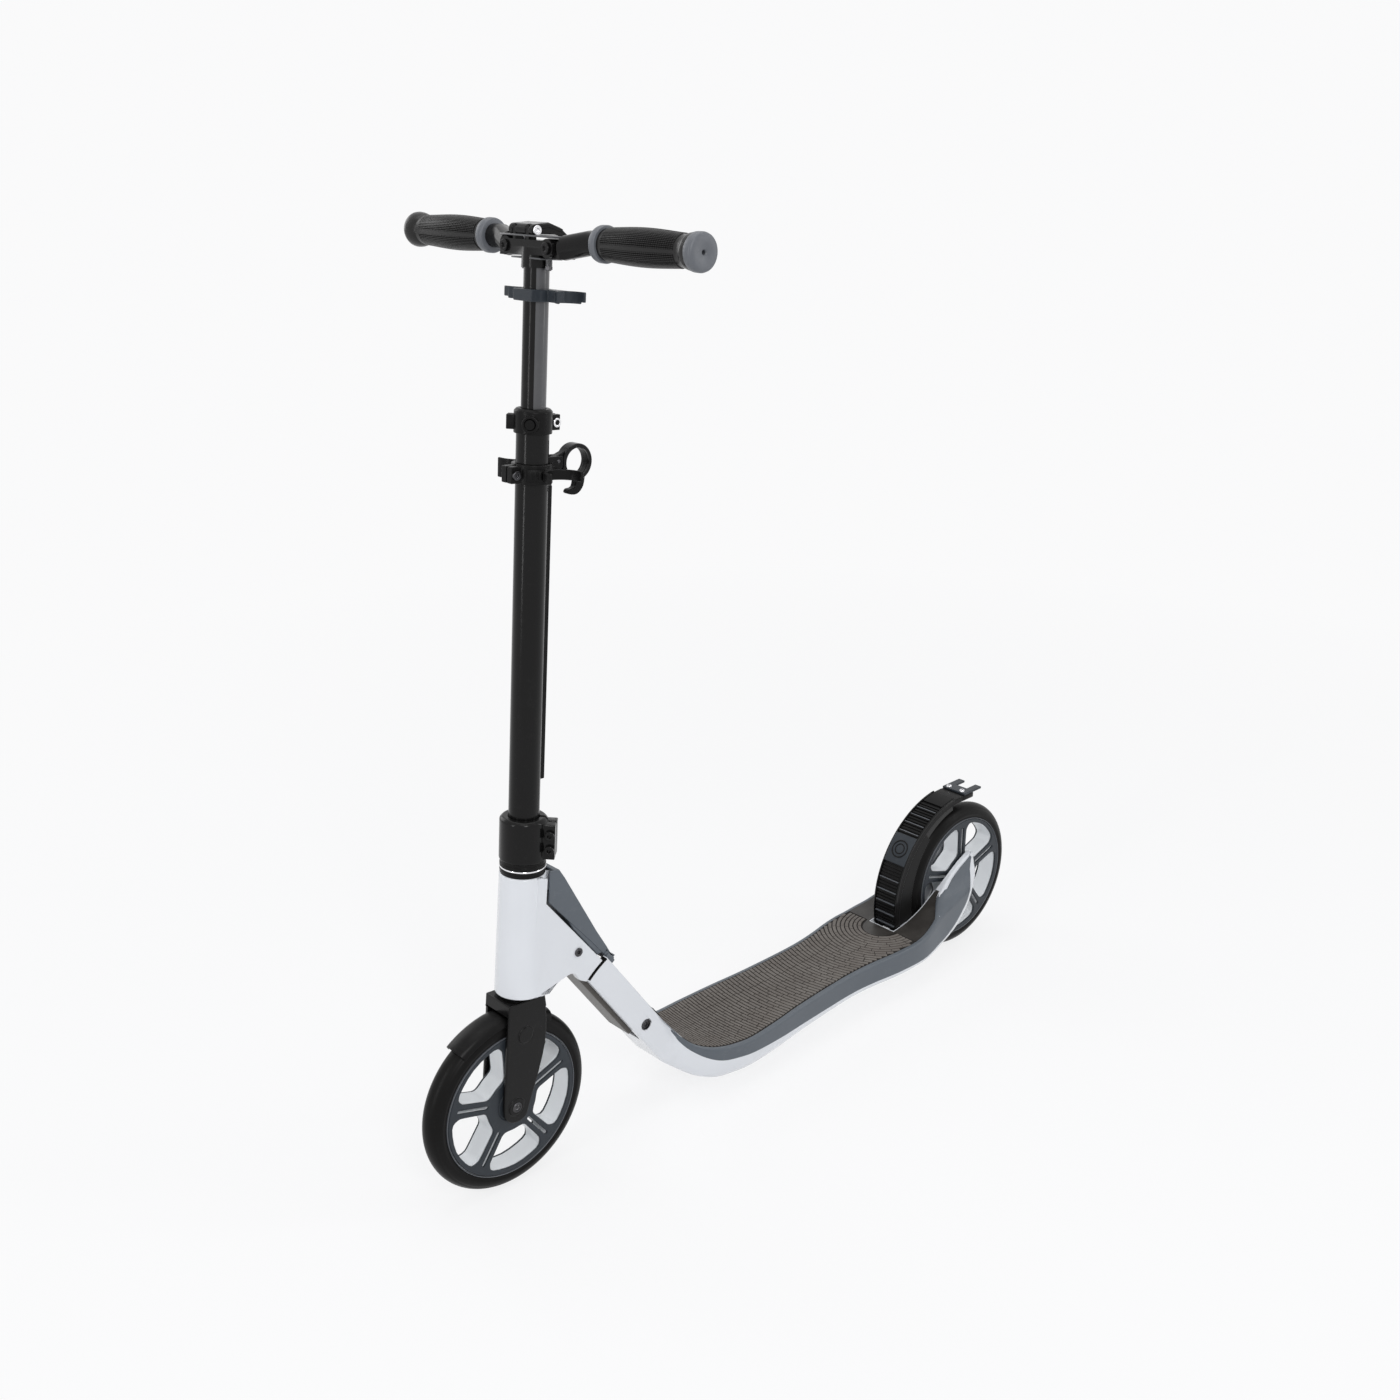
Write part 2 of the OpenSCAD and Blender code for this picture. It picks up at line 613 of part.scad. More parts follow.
// Fold lever: a channel-shaped cover behind the neck, hinged at its top
lever_back = 33;
lever_axis = steer_point(-lever_back + 2, head_top - 17);
lever_rear = rail_rear + 6.5;
module lever_side(d) polygon([
  [lever_axis[0] + 2.5, lever_axis[1] + 6 - d], [lever_axis[0] - 5 + d, lever_axis[1] + 5 - d],
  [lever_axis[0] - 8 + d, lever_axis[1] - 3], neck_point(150, -lever_rear - 4 + d),
  neck_point(112, -lever_rear + d), neck_point(103, -lever_rear - 4 + d),
  neck_point(103, -rail_rear - skin_gap), neck_point(plate_reach + 1, -rail_rear - skin_gap),
  neck_point(plate_reach + 4, -13), neck_point(180, -12),
  [lever_axis[0] + 2.5, lever_axis[1] - 14]]);

module fold_lever() color("dimgray") difference() {
  union() {
    side_slab(18) lever_side(0);
    neck() for (s = [-1, 1]) translate([tab_u - 2, s * (half_channel + 3) - 1.5, rail_rear - 3])
      cube([4, 3, 9]);
    neck() for (s = [-1, 1]) translate([tab_u - 5, s * 19 - 3.5, rail_rear + skin_gap]) cube([14, 7, 5]);
  }
  side_slab(15) intersection() {
    translate([-3, -3]) lever_side(0);
    translate([5, -3]) lever_side(0);
    polygon([neck_point(plate_reach + 6, 0), neck_point(plate_reach + 6, -60), neck_point(400, -60),
      neck_point(400, 60)]);
  }
  // room for the shell's ears and the head tube
  side_pair(5.7, 10.3) translate(lever_axis) circle(r = 14);
  cross_rod(2 + run_gap, 30, lever_axis);
  steer() translate([0, 0, head_low]) cylinder(r = head_r_top + 4.5, h = head_len + 60);
}

// Fork ------------------------------------------------------------------------

crown_low = wheel_r + 5.5;
blade_in = tyre_w / 2 + blade_gap;
blade_out = blade_in + blade_t;

module fork() color("black") steer() difference() {
  union() {
    side_pair(blade_in, blade_out) polygon(concat(
      path([[29, crown_low + crown_h], [30, 60], [fork_offset + 15, 0], [fork_offset + 10, -15],
        [fork_offset - 2, -20], [fork_offset - 14, -15], [-2, 0], [-13, 34], [-20, 65], [-21, 92],
        [-18, crown_low + crown_h]])));
    side_slab(blade_out) polygon([[-18, crown_low + crown_h], [-20.5, crown_low], [29.5, crown_low],
      [29, crown_low + crown_h]]);
    translate([0, 0, crown_low]) cylinder(r = 19, h = crown_h + 2);
    side_pair(blade_out, blade_out + 1.5) translate([7, 83]) circle(r = 9.5);
    side_pair(blade_out, blade_out + 1.5) translate([fork_offset, 0]) circle(r = 10);
  }
  cross_rod(axle_d / 2, 40, [fork_offset, 0]);
  translate([0, 0, crown_low]) cylinder(d = steerer_d, h = 60);
}

module steerer_tube() color("silver") steer() translate([0, 0, crown_low])
  tube(steerer_d / 2, steerer_d / 2 - 2.5, clamp_low + clamp_h - 10 - crown_low);

module front_mudguard() color("black") steer() difference() {
  side_slab(tyre_w / 2 + 1.5) difference() {
    union() {
      intersection() {
        translate([fork_offset, 0]) circle(r = wheel_r + mudguard_gap + mudguard_t, $fn = 120);
        translate([fork_offset, 0]) wedge(50, 119, 200);
      }
      translate([-8, crown_low - 20]) square([30, 20]);
    }
    translate([fork_offset, 0]) circle(r = wheel_r + mudguard_gap, $fn = 120);
  }
}

module front_axle() color("gray") wheel_at(front_x) axle_bolt(blade_out + 1.5);
module front_spacers() wheel_at(front_x) axle_washers(blade_in);

// Column ----------------------------------------------------------------------

clamp_low = head_top + 16;
clip_z = column_top - 57;
clip_y = bar_pivot_y + bar_rise;

module column_clamp() color("black") steer() difference() {
  union() {
    translate([0, 0, clamp_low]) cylinder(d = clamp_d, h = clamp_h - 3);
    translate([0, 0, clamp_low + clamp_h - 3]) cylinder(d1 = clamp_d, d2 = clamp_d - 6, h = 3);
    rotate([0, 0, 135]) translate([0, -12, clamp_low + 3]) cube([clamp_d / 2 + 9, 24, clamp_h - 8]);
  }
  translate([0, 0, clamp_low - 1]) cylinder(d = column_d, h = clamp_h + 2);
  rotate([0, 0, 135]) translate([0, -1.5, clamp_low - 1]) cube([60, 3, clamp_h + 2]);
  rotate([0, 0, 135]) for (z = [14, clamp_h - 16]) translate([clamp_d / 2 + 3.5, 0, clamp_low + z])
    rotate([90, 0, 0]) cylinder(r = 3, h = 60, center = true);
}

module clamp_bolts() color("silver") steer() rotate([0, 0, 135]) for (z = [14, clamp_h - 16])
  translate([clamp_d / 2 + 3.5, 0, clamp_low + z]) rotate([90, 0, 0]) difference() {
    union() {
      cylinder(r = 3, h = 24, center = true);
      translate([0, 0, 12]) cylinder(r = 5, h = 4);
    }
    translate([0, 0, 13]) cylinder(r = 2.4, h = 4, $fn = 6);
  }

module outer_tube() color("black") steer() translate([0, 0, clamp_low])
  tube(column_d / 2, column_d / 2 - column_wall, column_top - clamp_low);

module rear_strip() color("black") steer() difference() {
  translate([-column_d / 2 - 5.5, -5, clamp_low + clamp_h + 37])
    cube([12, 10, column_top - clamp_low - clamp_h - 107]);
  cylinder(d = column_d, h = column_top);
}

module top_bush() color("gray") steer() translate([0, 0, column_top - 40]) difference() {
  union() {
    cylinder(r = column_d / 2 - column_wall, h = 40);
    translate([0, 0, 40]) cylinder(r = column_d / 2, h = 2);
  }
  translate([0, 0, -1]) cylinder(r = inner_d / 2 + run_gap, h = 60);
}

collar_low = column_top - 19;
module height_collar() color("black") steer() difference() {
  union() {
    translate([0, 0, collar_low]) cylinder(r = column_d / 2 + 2.5, h = 21);
    translate([0, 0, column_top + 2]) cylinder(r1 = column_d / 2 + 2.5, r2 = column_d / 2, h = 2.5);
    translate([-column_d / 2 - 12, -6, collar_low + 2]) cube([16, 12, 15]);
    translate([0, 0, collar_low + 10]) rotate([0, 0, 45]) rotate([0, 90, 0])
      cylinder(r = 8, h = column_d / 2 + 6);
  }
  translate([0, 0, collar_low - 1]) cylinder(d = column_d, h = 22);
  translate([0, 0, collar_low - 1]) cylinder(r = inner_d / 2 + 0.5, h = 40);
  translate([-column_d / 2 - 20, -1, collar_low - 1]) cube([24, 2, 21]);
  translate([-column_d / 2 - 6.5, 0, collar_low + 9.5]) rotate([90, 0, 0])
    cylinder(r = 2.5, h = 40, center = true);
  translate([0, 0, collar_low + 10]) rotate([0, 0, 45]) rotate([0, 90, 0])
    cylinder(r = 5.1, h = column_d / 2 + 20);
}

module collar_bolt() color("silver") steer() translate([-column_d / 2 - 6.5, 0, collar_low + 9.5])
  rotate([90, 0, 0]) difference() {
    union() {
      cylinder(r = 2.5, h = 12, center = true);
      for (s = [0, 1]) mirror([0, 0, s]) translate([0, 0, 6]) cylinder(r = 4.5, h = 3);
    }
    for (s = [-1, 1]) translate([0, 0, s * 9]) cylinder(r = 2.3, h = 4, center = true, $fn = 6);
  }

module height_button() color("black") steer() translate([0, 0, collar_low + 10]) rotate([0, 0, 45])
  rotate([0, 90, 0]) translate([0, 0, column_d / 2 + 2.6]) cylinder(r1 = 5, r2 = 4.6, h = 5);

// An arm with an open claw that faces outward; drawn on the left side
module claw(r, wall, arm, h, open) difference() {
  union() {
    translate([0, clip_y, -h / 2]) cylinder(r = r + wall, h = h);
    translate([-arm / 2, 0, -h / 2]) cube([arm, clip_y - r - 1, h]);
  }
  translate([0, clip_y, -h]) cylinder(r = r, h = 2 * h);
  translate([0, clip_y, -h]) linear_extrude(height = 2 * h)
    polygon([[0, 0], [3 * r * sin(open), 3 * r * cos(open)], [3 * r * sin(open), 3 * r],
      [-3 * r * sin(open), 3 * r], [-3 * r * sin(open), 3 * r * cos(open)]]);
}

hook_axis = [-column_d / 2 - 11, clip_z + 10];
module lower_clip() color("black") steer() difference() {
  union() {
    translate([0, 0, clip_z - 9.5]) cylinder(r = column_d / 2 + 4, h = 19);
    translate([-bar_sweep, 0, clip_z]) claw(17.6, 2.9, 22, 10, 80);
    translate([-bar_sweep, 0, clip_z]) mirror([0, 1, 0]) claw(17.6, 2.9, 22, 19, 80);
    translate([8, -8, clip_z - 8]) cube([22, 16, 16]);
    side_pair(4.5, 7.5) polygon([[-10, clip_z - 8], [hook_axis[0] - 5, clip_z + 4],
      [hook_axis[0] - 5, hook_axis[1] + 5], [-column_d / 2 - 1, hook_axis[1] + 5], [-10, clip_z + 9.5]]);
  }
  translate([0, 0, clip_z - 20]) cylinder(d = column_d, h = 40);
  translate([10, -0.8, clip_z - 12]) cube([30, 1.6, 24]);
  translate([25, 0, clip_z]) rotate([90, 0, 0]) cylinder(r = 2.5, h = 40, center = true);
  cross_rod(2, 20, hook_axis);
}

module clip_screw() color("silver") steer() {
  translate([25, 0, clip_z]) rotate([90, 0, 0]) difference() {
    union() {
      cylinder(r = 2.5, h = 16, center = true);
      translate([0, 0, -11]) cylinder(r = 4.5, h = 3);
    }
    translate([0, 0, -12]) cylinder(r = 2.2, h = 3, $fn = 6);
  }
  cross_rod(2, 7.5, hook_axis);
}

// Catch hook with a finger ring; it takes the fender's plate when folded
ring_at = [-column_d / 2 - 35.3, clip_z + 7.7];
module catch_hook() color("black") steer() side_slab(4) difference() {
  union() {
    translate(ring_at) circle(r = 17.2);
    translate(hook_axis) circle(r = 5);
    polygon([[hook_axis[0], hook_axis[1] + 5], [ring_at[0] + 8, ring_at[1] + 14],
      [ring_at[0] + 12, ring_at[1] - 12], [hook_axis[0], hook_axis[1] - 5]]);
    polygon(concat(path([[ring_at[0] - 12, ring_at[1] - 8], [ring_at[0] - 10, ring_at[1] - 24],
      [ring_at[0] - 2, ring_at[1] - 32], [ring_at[0] + 9, ring_at[1] - 31], [ring_at[0] + 8, ring_at[1] - 27],
      [ring_at[0] + 1, ring_at[1] - 25], [ring_at[0] - 1, ring_at[1] - 15]])));
  }
  translate(ring_at) circle(r = 14);
  translate(hook_axis) circle(r = 2 + run_gap);
}

// Bar stem ----------------------------------------------------------------------

bar_z = grip_height - bar_rise + 1;
stem_low = clamp_low + clamp_h + height_travel;
module inner_tube() color("black") steer() translate([0, 0, stem_low])
  tube(inner_d / 2, inner_d / 2 - inner_wall, bar_z - 5 - stem_low);

module upper_clip() color("black") steer() translate([0, 0, bar_z - 42.6]) difference() {
  union() {
    translate([0, 0, -5.5]) cylinder(r = inner_d / 2 + 3.5, h = 11);
    for (s = [0, 1]) mirror([0, s, 0]) translate([-bar_sweep, 0, 0]) {
      claw(bar_d / 2 + 0.4, 2.5, 16, 11, 90);
      for (x = [-1, 1]) translate([x * (bar_d / 2 + 1.65) - 1.25, clip_y - 0.5, -3.8]) cube([2.5, 7, 9.3]);
    }
    translate([-18, -14, -5.5]) cube([34, 28, 11]);
  }
  translate([0, 0, -20]) cylinder(d = inner_d, h = 40);
}

lock_y = bar_pivot_y - 13;
lug_half = 9;
module bar_bracket() color("dimgray") steer() translate([0, 0, bar_z]) difference() {
  union() {
    side_slab(lock_y + 3.5) square([2 * lug_half + 9, 13], center = true);
    for (s = [-1, 1]) translate([s * (lug_half + 2.5), 0, 0]) rotate([90, 0, 90])
      linear_extrude(height = 4, center = true) {
        square([2 * bar_pivot_y, 13], center = true);
        for (t = [-1, 1]) translate([t * bar_pivot_y, 0]) circle(r = 8.5);
      }
    translate([0, 0, -18]) cylinder(r = inner_d / 2 + 2.2, h = 18);
    // posts of the lock lever
    for (y = [-20, 0]) translate([lock_x - 4.5, y - 2, 6]) cube([9, 4, 13]);
  }
  translate([0, 0, -25]) cylinder(d = inner_d, h = 20);
  for (s = [-1, 1]) {
    translate([0, s * bar_pivot_y, 0]) rotate([0, 90, 0]) cylinder(r = 3, h = 60, center = true);
    translate([0, s * lock_y, -20]) cylinder(r = 2.5 + run_gap, h = 40);
  }
  translate([lock_x, -10, lock_z]) rotate([90, 0, 0]) cylinder(r = 3, h = 60, center = true);
}

module bar_pivot_bolts() color("silver") steer() for (s = [-1, 1]) translate([0, s * bar_pivot_y, bar_z])
  rotate([0, 90, 0]) difference() {
    union() {
      cylinder(r = 3, h = 2 * lug_half + 9, center = true);
      translate([0, 0, lug_half + 4.5]) cylinder(r = 5.5, h = 2.5);
      translate([0, 0, -lug_half - 7]) cylinder(r = 5.5, h = 2.5);
    }
    translate([0, 0, lug_half + 5.5]) cylinder(r = 2.6, h = 4, $fn = 6);
  }

// Left bar: a hinge lug and a tube that rises to the grip
bend_y = bar_pivot_y + 34;
bend = [-bar_sweep, 23, bar_rise - 1.5];
module bar() steer() translate([0, 0, bar_z]) difference() {
  union() {
    translate([0, bar_pivot_y, 0]) rotate([0, 90, 0]) cylinder(r = 8.5, h = 2 * lug_half, center = true);
    translate([-lug_half, bar_pivot_y, -8.5]) cube([2 * lug_half, 14, 15]);
    hull() {
      translate([0, bar_pivot_y + 11, 1.5]) rotate([-90, 0, 0]) cylinder(d = bar_d, h = 1);
      translate([-bar_sweep, bend_y, bar_rise]) rotate([-90, 0, 0]) cylinder(d = bar_d, h = 1);
    }
    translate([-bar_sweep, bend_y, bar_rise]) rotate([-90, 0, 0])
      cylinder(d = bar_d, h = bar_reach - bend_y - 5);
  }
  translate([0, bar_pivot_y, 0]) rotate([0, 90, 0]) cylinder(r = 3 + run_gap, h = 60, center = true);
  translate([-bar_sweep, bend_y + 6, bar_rise]) rotate([-90, 0, 0]) cylinder(d = bar_d - 4, h = bar_reach);
}

// Grip: collar, ribbed sleeve and end flange
grip_from = bar_reach - 9 - grip_len;
module grip() steer() translate([-bar_sweep, grip_from - 17, bar_z + bar_rise]) rotate([-90, 0, 0])
  difference() {
  union() {
    cylinder(d1 = grip_d - 2, d2 = grip_d + 2, h = 6);
    translate([0, 0, 6]) cylinder(d = grip_d + 2, h = 11);
    translate([0, 0, 17]) cylinder(d = grip_d - 2, h = grip_len);
    for (i = [0:17]) translate([0, 0, 18 + i * (grip_len - 5) / 17]) cylinder(d = grip_d, h = 3);
    translate([0, 0, 17 + grip_len]) cylinder(d = flange_d, h = 7);
    translate([0, 0, 24 + grip_len]) cylinder(d1 = flange_d, d2 = flange_d - 4, h = 2);
  }
  translate([0, 0, -1]) cylinder(d = bar_d, h = grip_len + 23);
  cylinder(r = 5, h = 300);
}
module left_bar() color("black") bar();
module right_bar() color("black") mirror([0, 1, 0]) bar();
module left_grip() color("black") grip();
module right_grip() color("black") mirror([0, 1, 0]) grip();

// Lock lever on top of the bracket, and the two sprung pins it lifts
lock_x = 7;
lock_z = 15;
module bar_lock_lever() color("slategray") steer() translate([0, 0, bar_z]) difference() {
  union() {
    translate([lock_x, 8, lock_z]) rotate([90, 0, 0]) cylinder(r = 5.5, h = 36);
    translate([0, -10, 0]) side_slab(18) polygon([[lock_x, lock_z + 5.5], [-8, lock_z + 7],
      [-24, lock_z + 2], [-24, lock_z - 1], [-8, lock_z + 3], [lock_x, lock_z]]);
  }
  for (y = [-20, 0]) translate([lock_x - 6.5, y - 2.3, 0]) cube([14, 4.6, lock_z + 8]);
  translate([lock_x, 0, lock_z]) rotate([90, 0, 0]) cylinder(r = 3 + run_gap, h = 100, center = true);
}

module lock_axle() color("silver") steer() translate([lock_x, 9.8, bar_z + lock_z]) rotate([90, 0, 0])
  difference() {
  union() {
    cylinder(r = 3, h = 38.3);
    cylinder(r = 4.5, h = 1.5);
  }
  translate([0, 0, -1]) cylinder(r = 2, h = 2.2, $fn = 6);
}

module lock_pins() color("silver") steer() for (s = [-1, 1]) translate([0, s * lock_y, bar_z]) {
  translate([0, 0, -20]) cylinder(r = 2.5, h = 28);
  translate([0, 0, -19]) cylinder(r = 3.8, h = 3, $fn = 6);
  for (i = [0:2]) translate([0, 0, -15.5 + i * 1.5]) cylinder(r = 3.4, h = 0.8);
}

// Torsion spring around the fender's pivot pin
module fender_spring() color("silver") difference() {
  union() {
    cross_rod(6.5, 6, fender_axis);
    for (y = [-4.5:3:4.5]) translate([0, y, 0]) cross_rod(7.5, 1, fender_axis);
  }
  cross_rod(4, 10, fender_axis);
}

deck_shell();
deck_beam();
side_trim_left();
side_trim_right();
grip_mat();
fold_pivot_bolt();
latch_pin();
fold_stop();
rear_axle();
rear_spacers();
fender_pin();
catch_plate();
rear_tyre();
rear_wheel_core();
rear_wheel_faces();
rear_bearings();
rear_bearing_spacer();
brake_fender();
brake_pad();
tail_screws();
fender_spring();
neck_tongue();
head_shell();
head_screws();
headset_bearings();
headset_ring();
pivot_bushes();
fold_lever();
lock_axle();
fork();
steerer_tube();
front_mudguard();
front_axle();
front_spacers();
column_clamp();
clamp_bolts();
outer_tube();
rear_strip();
top_bush();
height_collar();
collar_bolt();
lower_clip();
clip_screw();
front_tyre();
front_wheel_core();
front_wheel_faces();
front_bearings();
front_bearing_spacer();
catch_hook();
inner_tube();
upper_clip();
bar_bracket();
bar_pivot_bolts();
height_button();
left_bar();
left_grip();
right_bar();
right_grip();
bar_lock_lever();
lock_pins();
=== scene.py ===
"""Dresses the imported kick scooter: moulded shells, tread, wheels, grips and finishes."""

import json
import math

import bmesh
import bpy
from mathutils import Matrix, Vector


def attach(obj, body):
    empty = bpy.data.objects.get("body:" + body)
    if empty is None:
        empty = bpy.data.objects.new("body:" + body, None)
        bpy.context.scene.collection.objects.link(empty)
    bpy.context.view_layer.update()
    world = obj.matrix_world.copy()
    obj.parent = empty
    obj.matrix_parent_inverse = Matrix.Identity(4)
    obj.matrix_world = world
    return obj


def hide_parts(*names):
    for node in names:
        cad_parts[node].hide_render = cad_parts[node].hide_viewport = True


bl_info = {
    "name": "Kick Scooter Dressing",
    "blender": (4, 5, 0),
    "version": (1, 0, 0),
    "location": "3D View > Sidebar > Scooter",
    "description": "Builds the moulded, turned and painted pieces of a folding kick scooter over its CAD frame",
    "category": "Object",
}

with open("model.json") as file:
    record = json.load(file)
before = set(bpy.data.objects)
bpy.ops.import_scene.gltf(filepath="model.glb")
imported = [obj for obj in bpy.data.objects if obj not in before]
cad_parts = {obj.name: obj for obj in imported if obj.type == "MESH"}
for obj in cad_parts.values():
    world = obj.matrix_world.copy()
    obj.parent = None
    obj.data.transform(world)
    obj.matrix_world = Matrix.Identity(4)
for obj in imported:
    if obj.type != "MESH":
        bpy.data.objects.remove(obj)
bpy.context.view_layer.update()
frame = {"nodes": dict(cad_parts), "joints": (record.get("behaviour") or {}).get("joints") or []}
MM = 0.001


# ---- Frames of reference ----

joints = {j["name"]: j for j in frame["joints"]}
fold_at = Vector(joints["fold"]["pos_m"])
front_hub = Vector(joints["front_wheel"]["pos_m"])
rear_hub = Vector(joints["rear_wheel"]["pos_m"])
steer_up = Vector(joints["steer"]["axis"]).normalized()
steer_out = Vector((steer_up.z, 0, -steer_up.x))
FORK_OFFSET = 17  # from the steering axis forward to the front axle, in millimetres
NECK_SLOPE = math.radians(55.4)
neck_up = Vector((math.cos(NECK_SLOPE), 0, math.sin(NECK_SLOPE)))
neck_fore = Vector((math.sin(NECK_SLOPE), 0, -math.cos(NECK_SLOPE)))
steer_foot = front_hub - steer_out * FORK_OFFSET * MM


def at_steer(x, y, z):
    """A place given in millimetres in the steering frame, whose Z runs up the steering axis."""
    return steer_foot + steer_out * x * MM + Vector((0, y * MM, 0)) + steer_up * z * MM


def at_neck(u, y, v):
    """A place given in millimetres up the neck from the fold pivot, across, and before its middle line."""
    return fold_at + neck_up * u * MM + Vector((0, y * MM, 0)) + neck_fore * v * MM


STEER = Matrix(
    (
        (steer_out.x, 0, steer_up.x, steer_foot.x),
        (0, 1, 0, 0),
        (steer_out.z, 0, steer_up.z, steer_foot.z),
        (0, 0, 0, 1),
    )
)


# ---- Settings ----


def length(label, words, value):
    return bpy.props.FloatProperty(
        name=label, description=words, default=value, subtype="DISTANCE", unit="LENGTH", precision=4
    )


def colour(label, words, value):
    return bpy.props.FloatVectorProperty(
        name=label, description=words, default=value, subtype="COLOR", size=3, min=0, max=1
    )


class ScooterSizes(bpy.types.PropertyGroup):
    """Sizes that the dressing adds to the frame's own"""

    small_round: length("Small rounding", "Radius on the edges that the deck shell's cuts leave", 0.0009)
    trim_proud: length("Trim step", "How far the side trims stand out of the shell", 0.0004)
    brick_length: length("Tread brick length", "Length of a tread brick across the deck", 0.0220)
    brick_pitch: length("Tread row pitch", "Distance between two rows of tread bricks", 0.0056)
    brick_gap: length("Tread groove", "Width of the groove between two bricks", 0.0014)
    brick_rise: length("Tread height", "Height of a tread brick over the mat", 0.0010)
    grip_belly: length("Grip belly", "How much thicker a grip is at its middle", 0.0020)


class ScooterColours(bpy.types.PropertyGroup):
    """Colours of the finishes"""

    white: colour("White", "Glossy plastic of the deck and the head", (0.78, 0.80, 0.84))
    slate: colour("Slate", "Grip collars and grip ends", (0.118, 0.126, 0.142))
    dark_slate: colour("Dark slate", "Wheel faces, fender boss and catch plate", (0.030, 0.036, 0.044))
    trim: colour("Trim", "Side trims and fold lever", (0.098, 0.114, 0.134))
    tread: colour("Tread", "Deck mat", (0.130, 0.114, 0.102))
    taupe: colour("Taupe", "Neck tongue", (0.085, 0.078, 0.071))
    black: colour("Black", "Tubes, fork and clips", (0.0062, 0.0060, 0.0061))
    # on the inner tube's strip this graphite is a painted reflection; on the bracket's plates it is their coat
    graphite: colour("Graphite", "Flat on the inner tube and plates of the bracket", (0.060, 0.061, 0.066))
    rubber: colour("Rubber", "Grips and tyres", (0.0070, 0.0067, 0.0066))
    core: colour("Wheel core", "Body of both wheels", (0.84, 0.86, 0.88))


# ---- Mesh helpers ----


def piece(name, bm, body, look, *stands_for, slot=None, smooth=40, bevel=0.0, segments=2):
    """Turns a bmesh into a finished object that rides on a body, its edges rounded by so many millimetres."""
    slot = slot or usual_slot(look)
    mesh = bpy.data.meshes.new(name)
    bm.to_mesh(mesh)
    bm.free()
    obj = bpy.data.objects.new(name, mesh)
    bpy.context.scene.collection.objects.link(obj)
    mesh.materials.append(finish(look))
    if bevel:
        round_edges(obj, bevel * MM, segments, 35)
    mesh.shade_smooth()
    mesh.set_sharp_from_angle(angle=math.radians(smooth))
    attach(obj, body)
    if stands_for:
        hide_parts(*stands_for)
    return obj


def round_edges(obj, width, segments, angle, clamp=True):
    """Rounds the edges that are sharper than an angle in degrees."""
    edge = obj.modifiers.new("Edges", "BEVEL")
    edge.width, edge.segments, edge.limit_method = width, segments, "ANGLE"
    edge.angle_limit, edge.use_clamp_overlap = math.radians(angle), clamp


def corners(geom):
    """The vertices among some geometry."""
    return [g for g in geom if isinstance(g, bmesh.types.BMVert)]


def sheet(bm, rows, cols, place):
    """A grid whose corner (i, j) is moved to place(i, j); i runs to rows, j to cols."""
    for v in bmesh.ops.create_grid(bm, x_segments=rows, y_segments=cols, size=1)["verts"]:
        v.co = place(round((v.co.x + 1) / 2 * rows), round((v.co.y + 1) / 2 * cols))


def solid(bm, depth):
    """Gives a sheet a thickness below it, in millimetres."""
    made = bmesh.ops.extrude_face_region(bm, geom=list(bm.faces))["geom"]
    bmesh.ops.translate(bm, verts=corners(made), vec=(0, 0, -depth * MM))
    bmesh.ops.recalc_face_normals(bm, faces=bm.faces)


def loft(bm, rings):
    """A closed skin through rings of equally many points; its ends are capped."""
    n = len(rings[0])
    sheet(bm, len(rings) - 1, n, lambda i, j: rings[i][j % n])
    bmesh.ops.remove_doubles(bm, verts=bm.verts, dist=1e-7)
    bmesh.ops.holes_fill(bm, edges=[e for e in bm.edges if e.is_boundary], sides=0)
    bmesh.ops.recalc_face_normals(bm, faces=bm.faces)


def turned(bm, profile, steps, where, closed=True):
    """Spins a profile of (radius, height) points, in millimetres, about the Z axis of a frame of reference."""
    verts = [bm.verts.new(where @ Vector((r * MM, 0, h * MM))) for r, h in profile]
    ends = verts[1:] + verts[:1] if closed else verts[1:]
    edges = [bm.edges.new(pair) for pair in zip(verts, ends)]
    axis = (where.to_3x3() @ Vector((0, 0, 1))).normalized()
    centre = where.to_translation()
    bmesh.ops.spin(
        bm, geom=verts + edges, cent=centre, axis=axis, angle=math.tau, steps=steps, use_merge=True
    )
    bmesh.ops.remove_doubles(bm, verts=bm.verts, dist=1e-6)


def prism(bm, outline, near, far, where=Matrix()):
    """Pushes an outline, given as points in a frame's X and Z, from one Y to another; all in millimetres."""
    face = bm.faces.new([bm.verts.new(where @ Vector((x * MM, near * MM, z * MM))) for x, z in outline])
    across = where.to_3x3() @ Vector((0, (far - near) * MM, 0))
    pushed = bmesh.ops.extrude_face_region(bm, geom=[face])["geom"]
    bmesh.ops.translate(bm, verts=corners(pushed), vec=across)


def block(bm, low, high, where=Matrix(), edge=0.0):
    """A box between two corners, in millimetres, with its edges rounded."""
    low, high = Vector(low) * MM, Vector(high) * MM
    made = bmesh.ops.create_cube(bm, size=1)["verts"]
    bmesh.ops.scale(bm, vec=high - low, verts=made)
    bmesh.ops.translate(bm, vec=(low + high) / 2, verts=made)
    if edge:
        made = bmesh.ops.bevel(
            bm, geom=list({e for v in made for e in v.link_edges}), offset=edge * MM, offset_type="OFFSET",
            segments=2, profile=0.5, affect="EDGES", material=-1,
        )["verts"]
    bmesh.ops.transform(bm, matrix=where, verts=linked(made))


def linked(verts):
    """All vertices joined to these by edges."""
    seen, todo = set(verts), list(verts)
    while todo:
        v = todo.pop()
        for w in [e.other_vert(v) for e in v.link_edges]:
            if w not in seen:
                seen.add(w)
                todo.append(w)
    return list(seen)


